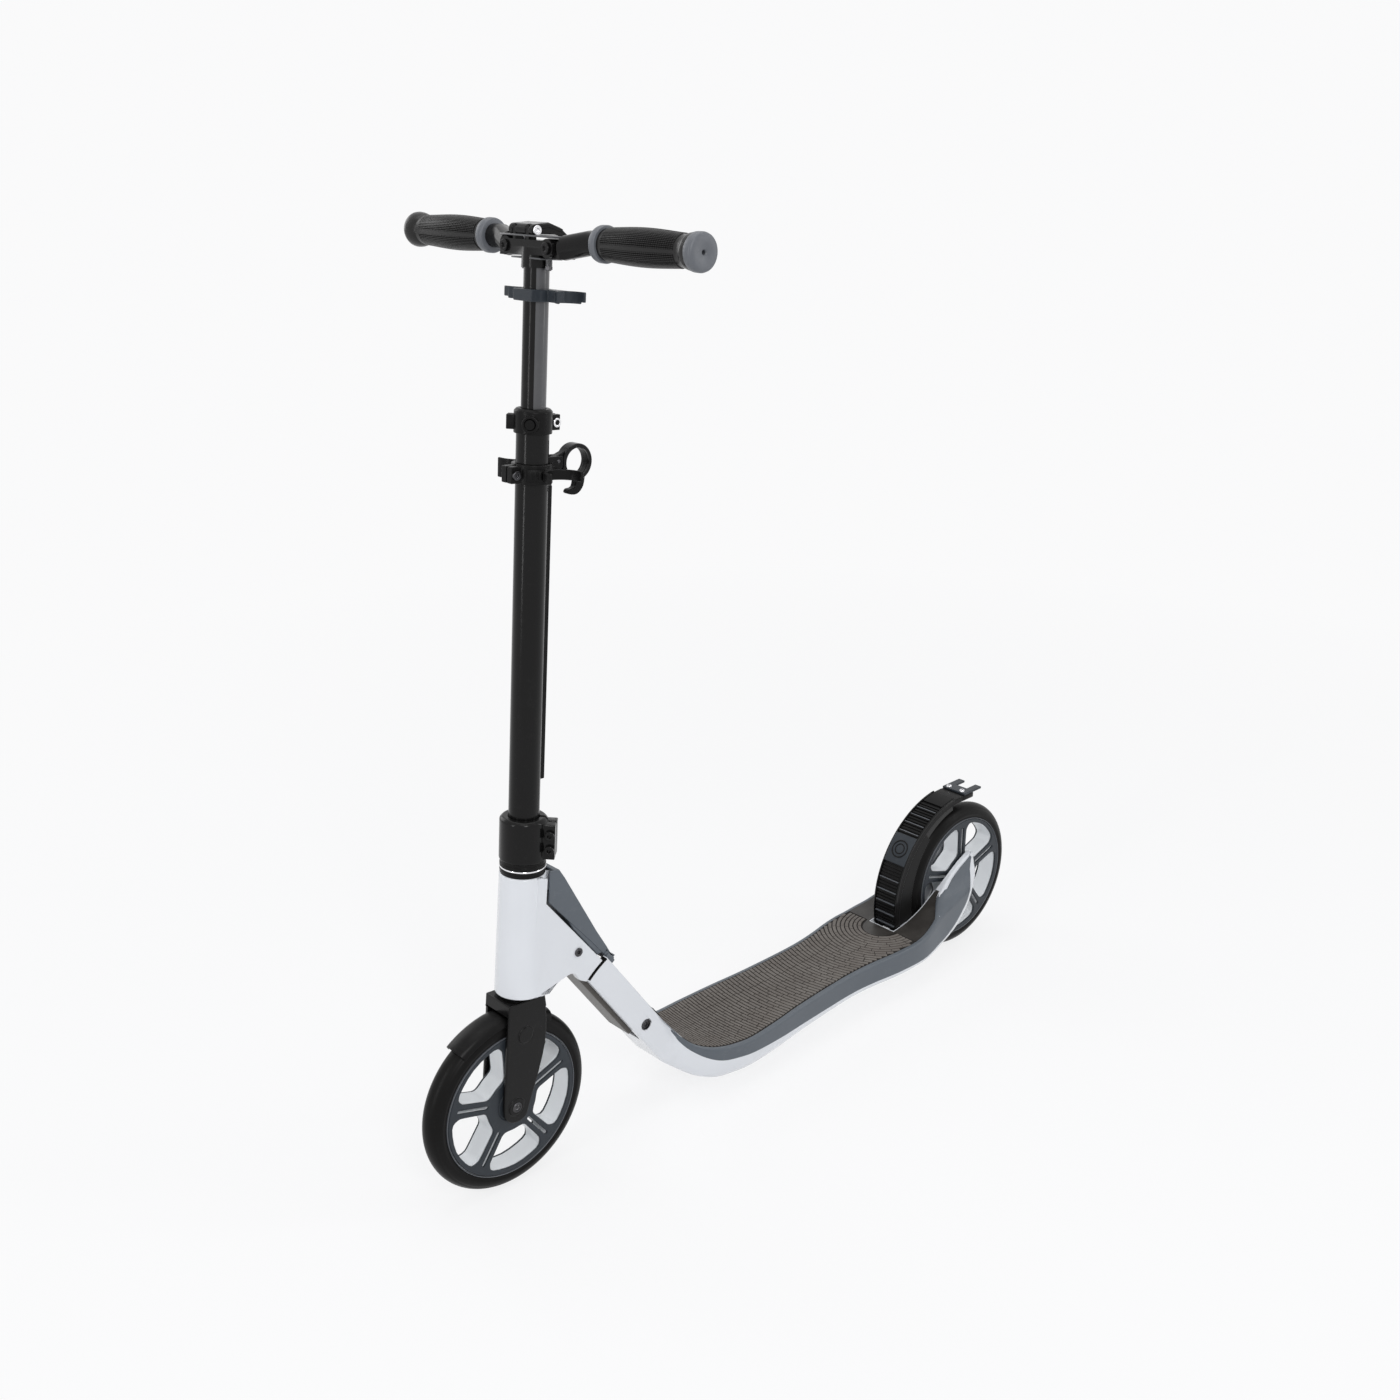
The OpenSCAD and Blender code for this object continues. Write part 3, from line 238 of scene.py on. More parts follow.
def rod(bm, start, end, radius, edge, where=Matrix(), steps=32, hole=0.0):
    """A turned rod between two places, in millimetres of a frame, with small chamfers and an optional bore."""
    along = Vector(end) - Vector(start)
    turn = along.to_track_quat("Z", "Y").to_matrix().to_4x4()
    tall = along.length
    wall = [(radius - edge, 0), (radius, edge), (radius, tall - edge), (radius - edge, tall)]
    profile = [(hole, 0), *wall, (hole, tall)]
    turned(bm, profile, steps, where @ Matrix.Translation(Vector(start) * MM) @ turn, closed=hole > 0)


def cut(obj, *cutters):
    """Takes cutting bodies out of a piece and applies the result, before any rounding."""
    for bm in cutters:
        bmesh.ops.recalc_face_normals(bm, faces=bm.faces)
        mesh = bpy.data.meshes.new("cutter")
        bm.to_mesh(mesh)
        bm.free()
        tool = bpy.data.objects.new("cutter", mesh)
        bpy.context.scene.collection.objects.link(tool)
        knife = obj.modifiers.new("Cut", "BOOLEAN")
        knife.operation, knife.solver, knife.object = "DIFFERENCE", "EXACT", tool
        obj.modifiers.move(len(obj.modifiers) - 1, 0)
        with bpy.context.temp_override(object=obj, active_object=obj, selected_objects=[obj]):
            bpy.ops.object.modifier_apply(modifier="Cut")
        bpy.data.objects.remove(tool)
        bpy.data.meshes.remove(mesh)


def smooth_line(points, steps):
    """Points of a smooth curve through the given ones."""
    pts = [Vector(p) for p in points]
    out = []
    for i in range(len(pts) - 1):
        p0, p1, p2, p3 = pts[max(i - 1, 0)], pts[i], pts[i + 1], pts[min(i + 2, len(pts) - 1)]
        square, cube = 2 * p0 - 5 * p1 + 4 * p2 - p3, 3 * p1 - p0 - 3 * p2 + p3
        for k in range(steps):
            t = k / steps
            out.append(0.5 * (2 * p1 + (p2 - p0) * t + square * t * t + cube * t**3))
    return out + [pts[-1]]


def arc(cx, cz, r, start, end, steps):
    """Points of an arc in a side view; angles in degrees."""
    turn = [math.radians(start + (end - start) * i / steps) for i in range(steps + 1)]
    return [(cx + r * math.cos(a), cz + r * math.sin(a)) for a in turn]


def read_line(points, x):
    """The height of a polyline of (x, height) points, ordered by x, at one x."""
    if x <= points[0][0]:
        return points[0][1]
    for (x0, y0), (x1, y1) in zip(points, points[1:]):
        if x <= x1:
            return y0 + (y1 - y0) * ((x - x0) / (x1 - x0))
    return points[-1][1]


def ramp(value, start, width):
    """0 up to a start and 1 from so much further on, even between them."""
    return min(1.0, max(0.0, (value - start) / width))


# ---- Finishes ----


def plug(tree, target, source):
    """Connects a socket to another, or sets its constant."""
    if isinstance(source, bpy.types.NodeSocket):
        tree.links.new(source, target)
    else:
        target.default_value = source


def add_node(tree, kind, links=None, **values):
    """Adds a node, sets its properties and connects its sockets: {socket: source or value}."""
    node = tree.nodes.new(kind)
    for key, value in values.items():
        setattr(node, key, value)
    for socket, source in (links or {}).items():
        plug(tree, node.inputs[socket], source)
    return node


def noise(tree, at, scale, detail=3.0, rough=0.55):
    return add_node(
        tree, "ShaderNodeTexNoise", {"Vector": at, "Scale": scale, "Detail": detail, "Roughness": rough}
    ).outputs["Fac"]


def stretch(tree, fac, low, high, to_low=0.0, to_high=1.0):
    return add_node(
        tree, "ShaderNodeMapRange",
        {"Value": fac, "From Min": low, "From Max": high, "To Min": to_low, "To Max": to_high},
    ).outputs["Result"]


def combined(tree, operation, a, b):
    return add_node(tree, "ShaderNodeMath", {0: a, 1: b}, operation=operation).outputs[0]


def times(tree, a, b):
    return combined(tree, "MULTIPLY", a, b)


def plus(tree, a, b):
    return combined(tree, "ADD", a, b)


def mixed(tree, fac, a, b):
    """A colour mixed from a socket and a constant colour."""
    node = add_node(tree, "ShaderNodeMix", {"Factor": fac}, data_type="RGBA")
    first, second = (next(s for s in node.inputs if s.name == name and s.type == "RGBA") for name in "AB")
    plug(tree, first, a)
    plug(tree, second, (*b, 1))
    return next(s for s in node.outputs if s.type == "RGBA")


def new_group(name, inputs, outputs):
    """A shader node group with named sockets, the inputs given as {label: default}."""
    group = bpy.data.node_groups.new(name, "ShaderNodeTree")
    for label, value in inputs.items():
        kind = "NodeSocketColor" if label == "Colour" else "NodeSocketFloat"
        group.interface.new_socket(name=label, in_out="INPUT", socket_type=kind).default_value = value
    for label in outputs:
        kind = "NodeSocketColor" if label == "Colour" else "NodeSocketFloat"
        group.interface.new_socket(name=label, in_out="OUTPUT", socket_type=kind)
    given, out = group.nodes.new("NodeGroupInput").outputs, group.nodes.new("NodeGroupOutput").inputs
    return group, given, out, add_node(group, "ShaderNodeTexCoord").outputs["Object"]


def moulding_group():
    """Grain, flow shades and handling marks of moulded plastic or powder coat."""
    tree, given, out, at = new_group(
        "Moulded Surface",
        {
            "Colour": (0.5, 0.5, 0.5, 1), "Roughness": 0.4, "Grain Scale": 1500.0, "Grain Height": 0.3,
            "Shade Change": 0.06, "Marks": 0.1,
        },
        ("Colour", "Roughness", "Height"),
    )
    grain = noise(tree, at, given["Grain Scale"], 2.0)
    shade = stretch(tree, noise(tree, at, 14.0, 4.0), 0.3, 0.7, -0.5, 0.5)
    shade = times(tree, shade, given["Shade Change"])
    mark = times(tree, stretch(tree, noise(tree, at, 95.0, 6.0, 0.7), 0.56, 0.74), given["Marks"])
    # long fine hairlines, as rubbing leaves
    drawn = {"Vector": at, "Rotation": (0.4, 0.7, 0.2), "Scale": (60, 900, 700)}
    drawn = add_node(tree, "ShaderNodeMapping", drawn).outputs[0]
    hair = stretch(tree, noise(tree, drawn, 1.0, 2.0, 0.5), 0.64, 0.72)
    scuff = plus(tree, mark, times(tree, hair, times(tree, given["Marks"], 0.5)))
    tone = {"Value": plus(tree, 1.0, shade), "Color": given["Colour"]}
    tone = add_node(tree, "ShaderNodeHueSaturation", tone).outputs[0]
    plug(tree, out["Colour"], mixed(tree, times(tree, scuff, 0.35), tone, (0.62, 0.62, 0.61)))
    rough = plus(tree, given["Roughness"], times(tree, mark, 0.6))
    plug(tree, out["Roughness"], plus(tree, rough, times(tree, shade, 0.8)))
    plug(tree, out["Height"], times(tree, grain, given["Grain Height"]))
    return tree


def dust_group():
    """Pale dust that gathers on faces that look up and in broad clouds."""
    tree, given, out, at = new_group(
        "Settled Dust", {"Colour": (0.5, 0.5, 0.5, 1), "Amount": 0.1}, ("Colour", "Cover")
    )
    normal = add_node(tree, "ShaderNodeNewGeometry").outputs["Normal"]
    face = stretch(tree, add_node(tree, "ShaderNodeSeparateXYZ", {0: normal}).outputs["Z"], 0.1, 0.9)
    cloud = stretch(tree, noise(tree, at, 38.0, 7.0, 0.65), 0.42, 0.75)
    cover = times(tree, times(tree, face, cloud), given["Amount"])
    plug(tree, out["Colour"], mixed(tree, cover, given["Colour"], (0.46, 0.44, 0.41)))
    plug(tree, out["Cover"], cover)
    return tree


def worked_metal_group():
    """Fine turning or brushing lines and a little tarnish on bare metal."""
    tree, given, out, at = new_group(
        "Worked Metal",
        {"Colour": (0.6, 0.6, 0.6, 1), "Roughness": 0.3, "Line Scale": 900.0, "Tarnish": 0.15},
        ("Colour", "Roughness", "Height"),
    )
    lines_at = add_node(tree, "ShaderNodeMapping", {"Vector": at, "Scale": (1, 0.04, 1)}).outputs[0]
    lines = noise(tree, lines_at, given["Line Scale"], 3.0)
    dull = times(tree, stretch(tree, noise(tree, at, 160.0, 5.0, 0.6), 0.5, 0.8), given["Tarnish"])
    plug(tree, out["Colour"], mixed(tree, dull, given["Colour"], (0.20, 0.17, 0.14)))
    rough = plus(tree, given["Roughness"], times(tree, dull, 0.7))
    plug(tree, out["Roughness"], plus(tree, rough, stretch(tree, lines, 0.3, 0.7, -0.05, 0.05)))
    plug(tree, out["Height"], lines)
    return tree


groups = {}


def group_node(tree, make, **links):
    """A node that stands for a group, which is made the first time it is asked for."""
    if make not in groups:
        groups[make] = make()
    links = {label.replace("_", " "): source for label, source in links.items()}
    node = tree.nodes.new("ShaderNodeGroup")
    node.node_tree = groups[make]
    for label, source in links.items():
        plug(tree, node.inputs[label], source)
    return node


def new_material(name, tone=(0.8, 0.8, 0.8, 1)):
    """A material with its tree and its shader."""
    material = bpy.data.materials.new(name)
    material.use_nodes = True
    material.diffuse_color = tone
    return material, material.node_tree, material.node_tree.nodes["Principled BSDF"].inputs


def moulded(name, tone, rough, grain, height, shade, marks, dust, bump, coat=0.0, specular=0.5):
    """A moulded plastic, rubber or powder-coated finish."""
    material, tree, shader = new_material(name, tone)
    surface = group_node(
        tree, moulding_group, Colour=tone, Roughness=rough, Grain_Scale=grain, Grain_Height=height,
        Shade_Change=shade, Marks=marks,
    ).outputs
    dusty = group_node(tree, dust_group, Colour=surface["Colour"], Amount=dust).outputs
    plug(tree, shader["Base Color"], dusty["Colour"])
    plug(tree, shader["Roughness"], plus(tree, surface["Roughness"], times(tree, dusty["Cover"], 0.4)))
    relief = {"Height": surface["Height"], "Strength": bump, "Distance": 0.0004}
    plug(tree, shader["Normal"], add_node(tree, "ShaderNodeBump", relief).outputs["Normal"])
    shader["Specular IOR Level"].default_value = specular
    shader["Coat Weight"].default_value = coat
    shader["Coat Roughness"].default_value = 0.08
    return material


def metal(name, tone, rough, lines, tarnish, bump):
    """A bare or plated metal finish."""
    material, tree, shader = new_material(name, tone)
    surface = group_node(
        tree, worked_metal_group, Colour=tone, Roughness=rough, Line_Scale=lines, Tarnish=tarnish
    ).outputs
    plug(tree, shader["Base Color"], surface["Colour"])
    plug(tree, shader["Roughness"], surface["Roughness"])
    relief = {"Height": surface["Height"], "Strength": bump, "Distance": 0.0002}
    plug(tree, shader["Normal"], add_node(tree, "ShaderNodeBump", relief).outputs["Normal"])
    shader["Metallic"].default_value = 1.0
    return material


# usual slot, label, colour and its share, then roughness, grain scale, grain height,
# change of shade, marks, dust and bump, and where they differ coat and specular level
MOULDED = {
    "white": ("white_shell", "White Gloss Plastic", "white", 1, 0.22, 900, 0.3, 0.03, 0.1, 0.05, 0.03, 0.35),
    "slate": ("slate", "Slate Plastic", "slate", 1, 0.42, 1600, 0.5, 0.06, 0.12, 0.06, 0.09),
    "dark slate": ("slate", "Dark Slate Plastic", "dark_slate", 1, 0.34, 1600, 0.5, 0.08, 0.05, 0.02, 0.08, 0, 0.22),
    # graphite: the bracket plates' coat, and a painted reflection on the inner tube's strip
    "graphite": ("black_paint", "Graphite Coat", "graphite", 1, 0.32, 2400, 0.5, 0.08, 0.08, 0.03, 0.08, 0.2),
    # plain mat: smooth rubber round the slot, its low share a painted shadow of the fender
    "plain mat": ("mat", "Plain Mat Rubber", "tread", 0.22, 0.42, 1100, 0.8, 0.12, 0.08, 0.06, 0.14, 0, 0.4),
    "trim": ("dark_slate", "Side Trim Plastic", "trim", 1, 0.46, 1300, 0.6, 0.05, 0.14, 0.06, 0.12),
    "tread": ("mat", "Tread Rubber", "tread", 1, 0.66, 1100, 0.8, 0.16, 0.20, 0.16, 0.22),
    # groove: the mat's base, seen between the bricks and at the mat's edge; its low share is painted shade in those
    # recesses
    "groove": ("mat", "Tread Groove Rubber", "tread", 0.12, 0.8, 1100, 0.8, 0.1, 0.03, 0.03, 0.2, 0, 0.2),
    "taupe": ("taupe_paint", "Taupe Coat", "taupe", 1, 0.40, 2200, 0.5, 0.04, 0.12, 0.04, 0.10, 0, 0.25),
    "coat": ("black_paint", "Black Powder Coat", "black", 1, 0.17, 2600, 0.7, 0.10, 0.02, 0.008, 0.06, 0, 0.18),
    "black": ("black_plastic", "Black Plastic", "black", 1.15, 0.32, 1800, 0.7, 0.10, 0.03, 0.010, 0.14, 0, 0.11),
    "grip": ("grip_rubber", "Grip Rubber", "rubber", 1, 0.25, 1400, 0.8, 0.10, 0.03, 0.012, 0.14, 0, 0.30),
    "tyre": ("tyre", "Tyre Polyurethane", "rubber", 1, 0.36, 700, 0.6, 0.12, 0.02, 0.008, 0.10, 0, 0.09),
    "core": ("wheel_core", "Wheel Core Plastic", "core", 1, 0.34, 1000, 0.4, 0.04, 0.10, 0.08, 0.05),
}
# usual slot, label, colour, roughness, scale of the lines, tarnish and bump
METALS = {
    "steel": ("steel", "Zinc Steel", (0.56, 0.56, 0.57, 1), 0.32, 1100, 0.22, 0.06),
    "chrome": ("chrome", "Chrome", (0.80, 0.80, 0.82, 1), 0.10, 1600, 0.05, 0.01),
    "alloy": ("alloy", "Mill Alloy", (0.66, 0.67, 0.68, 1), 0.38, 500, 0.08, 0.08),
    "brass": ("brass", "Bush Brass", (0.68, 0.50, 0.24, 1), 0.34, 900, 0.25, 0.05),
    "black steel": ("steel", "Blackened Steel", (0.07, 0.07, 0.075, 1), 0.28, 1200, 0.2, 0.06),
}
finishes = {}


def usual_slot(look):
    return (MOULDED.get(look) or METALS[look])[0]


def finish(look):
    """One of the scooter's finishes, made the first time it is asked for."""
    if look not in finishes and look in METALS:
        finishes[look] = metal(*METALS[look][1:])
    elif look not in finishes:
        _, label, which, share, *values = MOULDED[look]
        tone = getattr(bpy.context.scene.scooter_colours, which)
        finishes[look] = moulded(label, (*(c * share for c in tone), 1), *values)
    return finishes[look]


# ---- Shapes shared by several pieces ----


def turned_frame(centre, direction):
    """A frame at a place, in metres, whose Z runs along a direction."""
    return Matrix.Translation(centre) @ Vector(direction).to_track_quat("Z", "Y").to_matrix().to_4x4()


def beside(axle, side, reach):
    """A frame on an axle that runs across, so many millimetres to one side, whose Z points outwards."""
    return turned_frame(Vector((axle.x, side * reach * MM, axle.z)), (0, side, 0))


def rounded(
    body, node, look, bevel, segments=2, slot=None, name=None, smooth=32, merge=0.02, clamp=False, reshape=None
):
    """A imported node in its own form, merged into one skin whose edges are rounded over, in millimetres."""
    bm = bmesh.new()
    bm.from_mesh(frame["nodes"][node].data)
    bmesh.ops.remove_doubles(bm, verts=bm.verts, dist=merge * MM)
    if reshape:
        for v in bm.verts:
            v.co = reshape(v.co)
    bmesh.ops.dissolve_degenerate(bm, edges=bm.edges, dist=merge * MM)
    bmesh.ops.dissolve_limit(
        bm, angle_limit=math.radians(1.5), use_dissolve_boundaries=False, verts=bm.verts, edges=bm.edges
    )
    bmesh.ops.recalc_face_normals(bm, faces=bm.faces)
    name = name or node + "_skin"
    obj = piece(name, bm, body, look, node, slot=slot, smooth=smooth, bevel=bevel, segments=segments)
    if bevel:
        obj.modifiers["Edges"].use_clamp_overlap = clamp


def hex_screw(bm, radius, height, where, socket):
    """A round screw head with a chamfered rim and a hexagonal socket, standing on a frame's XY plane."""
    profile = [
        (0.01, 0), (radius, 0), (radius, height * 0.62), (radius * 0.86, height), (socket * 1.08, height),
        (socket * 1.02, height * 0.4), (0.01, height * 0.3),
    ]
    turned(bm, profile, 28, where)
    # the six sides of the socket
    well = bmesh.ops.create_cone(
        bm, cap_ends=False, segments=6, radius1=socket * MM, radius2=socket * MM, depth=height * 0.68 * MM
    )["verts"]
    bmesh.ops.transform(bm, matrix=where @ Matrix.Translation((0, 0, height * 0.64 * MM)), verts=well)


# ---- Deck ----

# Places along the deck from its tail to the neck: the top edge, the lower edge of
# the trim and the underside, as (x, z) in millimetres
DECK_STATIONS = [
    ((-386, 143), (-388, 142), (-392, 140)),
    ((-378, 139), (-385, 131), (-398, 127)),
    ((-364, 132), (-382, 110), (-400, 104)),
    ((-349, 123), (-370, 84), (-391, 81)),
    ((-330, 111.5), (-356, 71), (-371, 61)),
    ((-312, 101), (-335, 57), (-345, 47)),
    ((-295, 91), (-311, 48), (-318, 40)),
    ((-280, 84.5), (-288, 45), (-292, 38)),
    ((-262, 79), (-266, 44), (-268, 37.5)),
    ((-236, 75), (-238, 44.5), (-240, 38)),
    ((-210, 74.5), (-210, 45), (-210, 37)),
    ((-165, 73), (-165, 44.5), (-165, 36)),
    ((-123, 71.6), (-123, 44), (-123, 35)),
    ((-70, 70), (-70, 42.5), (-70, 31.5)),
    ((-17, 68.4), (-17, 42), (-17, 28)),
    ((25, 67), (25, 43.5), (25, 25)),
    ((66, 66), (66, 46), (66, 23)),
    ((92, 67.4), (92, 49), (94, 24.5)),
    ((111, 70), (114, 53), (118, 27)),
    ((127, 74), (134, 62.5), (142, 36)),
    ((139, 78.3), (148, 73.5), (161, 50)),
    ((148, 84.7), (156, 83), (176, 63)),
    ((156, 93.2), (161.5, 92), (186, 76)),
    ((165, 104.5), (166.5, 103.5), (193, 86)),
]
# half of the deck's width by x, and of its raised tail by z
DECK_WIDTHS = [
    (-406, 30), (-392, 33), (-372, 39), (-345, 44), (-307, 50), (-274, 58), (-250, 63), (-221, 64), (-191, 62),
    (-153, 56.5), (-108, 54), (-29, 57), (20, 61.5), (66, 64), (88, 62.7), (111, 59), (130, 53), (150, 38),
    (163, 29), (181, 26), (400, 26),
]
FIN_WIDTHS = [(81, 65), (95, 42), (110, 32), (150, 28), (400, 28)]
# smooth lines through all of these; the stations' are rows of a top, a trim and an underside place
DECK_LINES = list(zip(*(smooth_line([station[k] for station in DECK_STATIONS], 3) for k in range(3))))
TOP_LINE = [tuple(top) for top, _, _ in DECK_LINES]
WIDTH_LINE = [tuple(p) for p in smooth_line(DECK_WIDTHS, 5)]
FIN_LINE = [tuple(p) for p in smooth_line(FIN_WIDTHS, 5)]
RAIL_REAR, RAIL_FRONT, RAIL_REACH = 18.0, 15.4, 120.0
CHANNEL_HALF = 18.0
# the rim beside the mat, and how far the shell is sunk under it
RIM, MAT_SINK = 5.0, 1.3
SLOT_HALF, SLOT_X = 20.0, -236.0
SIDE_STEPS = tuple(0.16 + 0.039 * k for k in range(20))
SIDES = (("left", 1), ("right", -1))


def deck_half(x, z):
    """Half of the deck's width at a place in the side view."""
    plan = read_line(WIDTH_LINE, x)
    return min(plan, read_line(FIN_LINE, z)) if z > 81 and x < -200 else plan


def top_height(x):
    """Height of the standing surface at one distance along the deck."""
    return read_line(TOP_LINE, x)


def between(a, b, t):
    """A share of the way from one place in the side view to another."""
    return a.x + (b.x - a.x) * t, a.y + (b.y - a.y) * t


def deck_ring(top, mid, low, boxy, sunk):
    """One closed section of the deck's shell; boxy is 1 for the square neck, sunk lowers its upper face."""
    wide = deck_half(*top)
    half = [(top.x, y, top.y - sunk) for y in (0, 0.5 * (wide - RIM), wide - RIM)]
    half.append((top.x, wide - RIM + 1.8, top.y - sunk * 0.8))
    for t, less in ((0.02, 1.6), (0.07, 0.7), (0.12, 0.3), *((step, 0) for step in SIDE_STEPS)):
        x, z = between(top, mid, t)
        half.append((x, deck_half(x, z) - less * (1 - boxy * 0.3), z))
    half.append((mid.x, deck_half(*mid), mid.y))
    for t, slim, square in (
        (0.1, 1.0, 1.0), (0.3, 0.99, 1.0), (0.55, 0.965, 1.0), (0.78, 0.92, 1.0), (0.92, 0.865, 0.975),
        (0.985, 0.79, 0.93), (1, 0.68, 0.84), (1, 0.35, 0.4), (1, 0, 0),
    ):
        x, z = between(mid, low, t)
        half.append((x, deck_half(x, z) * (slim + (square - slim) * boxy), z))
    whole = half + [(x, -y, z) for x, y, z in reversed(half[1:-1])]
    return [Vector(p) * MM for p in whole]


def neck_ring(u):
    """A section of the neck rails at a distance up from the fold pivot, with as many points as a deck ring."""
    top, low = ((at_neck(u, 0, v) / MM).xz for v in (-RAIL_REAR, RAIL_FRONT))
    return deck_ring(top, top + (low - top) * 0.34, low, 1.0, 0.0)


def slot_box(grow=0.0):
    """A cutter for the wheel slot, so many millimetres wider at its sides and its head."""
    box = bmesh.new()
    block(box, (-700, -SLOT_HALF - grow, -10), (SLOT_X + grow, SLOT_HALF + grow, 400))
    return box


def deck_cutters():
    """The wheel slot, the tongue's channel with its round floor, the pivot's bore and the rails' round ends."""
    channel, floor, bore, ends = (bmesh.new() for _ in range(4))
    outline = [(0, 25), (RAIL_REACH + 30, 25), (RAIL_REACH + 30, -60), (-30, -60), (-30, 0), (0, 0)]
    prism(channel, [(at_neck(u, 0, v) / MM).xz for u, v in outline], -CHANNEL_HALF, CHANNEL_HALF)
    x, z = (fold_at / MM).xz
    prism(floor, arc(x, z, 22, 0, 345, 46), -CHANNEL_HALF + 0.01, CHANNEL_HALF - 0.01)
    prism(bore, arc(x, z, 6.6, 0, 340, 34), -40, 40)
    slope = math.degrees(NECK_SLOPE)
    near = arc(x, z, RAIL_REACH, slope - 40, slope + 40, 40)
    prism(ends, near + arc(x, z, RAIL_REACH + 60, slope + 40, slope - 40, 12), -60, 60)
    return slot_box(), channel, floor, bore, ends


def make_deck_shell():
    rings = []
    for top, mid, low in DECK_LINES:
        boxy = ramp(top.x, 120, 45)
        rings.append(deck_ring(top, mid, low, boxy, MAT_SINK * ramp(top.x, -318, 12) * (1 - boxy)))
    rings += [neck_ring(u) for u in (-6, 10, 34, 62, 92, 124, 132)]
    bm = bmesh.new()
    loft(bm, rings)
    shell = piece("deck_shell_skin", bm, "deck", "white", "deck_shell", smooth=38)
    cut(shell, *deck_cutters())
    merge_copy(shell, 0.02)
    round_edges(shell, bpy.context.scene.scooter_sizes.small_round, 2, 50, clamp=False)
    shell.data.set_sharp_from_angle(angle=math.radians(38))
    make_rail_ends()


def make_rail_ends():
    """A thin dark gasket over the round end of each neck rail."""
    (x, z), slope = (fold_at / MM).xz, math.degrees(NECK_SLOPE)
    low, high = slope - 6.6, slope + 7.8
    outline = arc(x, z, RAIL_REACH - 1.1, low, high, 12) + arc(x, z, RAIL_REACH + 0.3, high, low, 12)
    gasket = bmesh.new()
    for near, far in ((-26.2, -18.3), (18.3, 26.2)):
        prism(gasket, outline, near, far)
    piece("rail_gaskets", gasket, "deck", "black", smooth=35)


def merge_copy(obj, distance):
    """Merges the near-doubles that a cut leaves, in millimetres."""
    bm = bmesh.new()
    bm.from_mesh(obj.data)
    bmesh.ops.remove_doubles(bm, verts=bm.verts, dist=distance * MM)
    bmesh.ops.dissolve_degenerate(bm, edges=bm.edges, dist=distance * MM)
    bm.to_mesh(obj.data)
    bm.free()


def trim_section(top, mid, side, proud):
    """A section of a side trim: over the deck's edge and down to its lower line."""
    fin = ramp(-top.x, 320, 10)
    bare = fin * min(0.3, 2.8 / max(1.0, (top - mid).length))
    out = proud + 0.8 * ramp(-top.x, 285, 15)
    outer = []
    # the share of the way down, how far back and up, and the least share of the step outwards
    for t, back, up, least in (
        (0.0, 5.0, 0.0, 0.0), (0.004, 3.1, -0.15, 0.0), (0.018, 1.5, 0.0, 0.7), (0.06, 0.6, 0.0, 1.0),
        (0.085, 0.45, 0.0, 1.0), (0.115, 0.25, 0.0, 1.0),
    ):
        x, z = between(top, mid, bare + (1 - bare) * t)
        outer.append((x, deck_half(x, z) - back * (1 - fin) + out * max(fin, least), z + up))
    for t in (*SIDE_STEPS, 0.97):
        t = bare + 0.03 + (0.97 - bare) * t if bare else t
        x, z = between(top, mid, t)
        outer.append((x, deck_half(x, z) + out - (0.5 if t > 0.95 else 0), z))
    inner = [(x, y - 2.4, z - (1.6 if k < 4 else 0)) for k, (x, y, z) in enumerate(outer)]
    return [Vector((x, side * y, z)) * MM for x, y, z in outer + inner[::-1]]


def make_side_trims():
    proud = bpy.context.scene.scooter_sizes.trim_proud / MM
    for label, side in SIDES:
        bm = bmesh.new()
        loft(bm, [trim_section(top, mid, side, proud) for top, mid, _ in DECK_LINES[2:]])
        trim = piece("side_trim_skin_" + label, bm, "deck", "trim", "side_trim_" + label)
        cut(trim, slot_box(0.4))


# ---- Deck mat ----

MAT_TAIL, MAT_NOSE = -309.0, 146.0
# The plain part runs from the tail of the slot to a round nose, on which the first row of bricks lies
PLAIN_TAIL, PLAIN_NOSE = -321.0, 27.0


def mat_half(x, inset):
    """Half of the mat's width at one distance along the deck, so far inside the deck's edge."""
    return deck_half(x, top_height(x)) - inset


def slab(name, look, rows, cols, place, depth, *node, **shading):
    """A sheet that lies on the deck, with a depth in millimetres."""
    bm = bmesh.new()
    sheet(bm, rows, cols, place)
    solid(bm, depth)
    return piece(name, bm, "deck", look, *node, **shading)


def make_mat():
    """The mat's base, darkened as painted shade in its grooves, its smooth plain part round the wheel slot, darkened
    as a painted shadow of the fender, and the rows of raised bricks.
    """

    def base_place(i, j):
        x = MAT_TAIL + (MAT_NOSE - MAT_TAIL) * i / 90
        return Vector((x, mat_half(x, 5.1) * (j / 10 - 1), top_height(x) - 0.35)) * MM

    def plain_place(i, j):
        share = j / 16 - 1
        front = SLOT_X + math.sqrt(max(0.0, PLAIN_NOSE**2 - (64 * share) ** 2))
        x = PLAIN_TAIL + (front - PLAIN_TAIL) * i / 34
        return Vector((x, mat_half(x, 6.0) * share, top_height(x) + 0.2)) * MM

    # the base's dark rubber is painted shade in the grooves
    base = slab("grip_mat_base", "groove", 90, 20, base_place, 2.0, "grip_mat", smooth=50)
    plain = slab("grip_mat_plain", "plain mat", 34, 32, plain_place, 0.9, bevel=0.3)
    for obj in (base, plain):
        cut(obj, slot_box(1.2))
    make_slot_lip()
    bricks = bmesh.new()
    lay_bricks(bricks)
    piece("grip_mat_bricks", bricks, "deck", "tread", smooth=30)


def make_slot_lip():
    """A thin pale lip round the wheel slot, level with the mat."""
    steps, tail = 24, PLAIN_TAIL + 2
    edge = [tail + (SLOT_X - tail) * k / steps for k in range(steps + 1)]
    path = [(x, -1) for x in edge] + [(SLOT_X, k / 4 - 1) for k in range(1, 8)]
    path += [(x, 1) for x in reversed(edge)]

    def lip_place(i, j):
        x, share = path[i]
        out = 0.15 + 1.1 * j
        if abs(x - SLOT_X) < 0.01:
            x += out
        return Vector((x, share * (SLOT_HALF + out), top_height(x) + 0.35)) * MM

    slab("slot_lip", "white", len(path) - 1, 1, lip_place, 2.4)


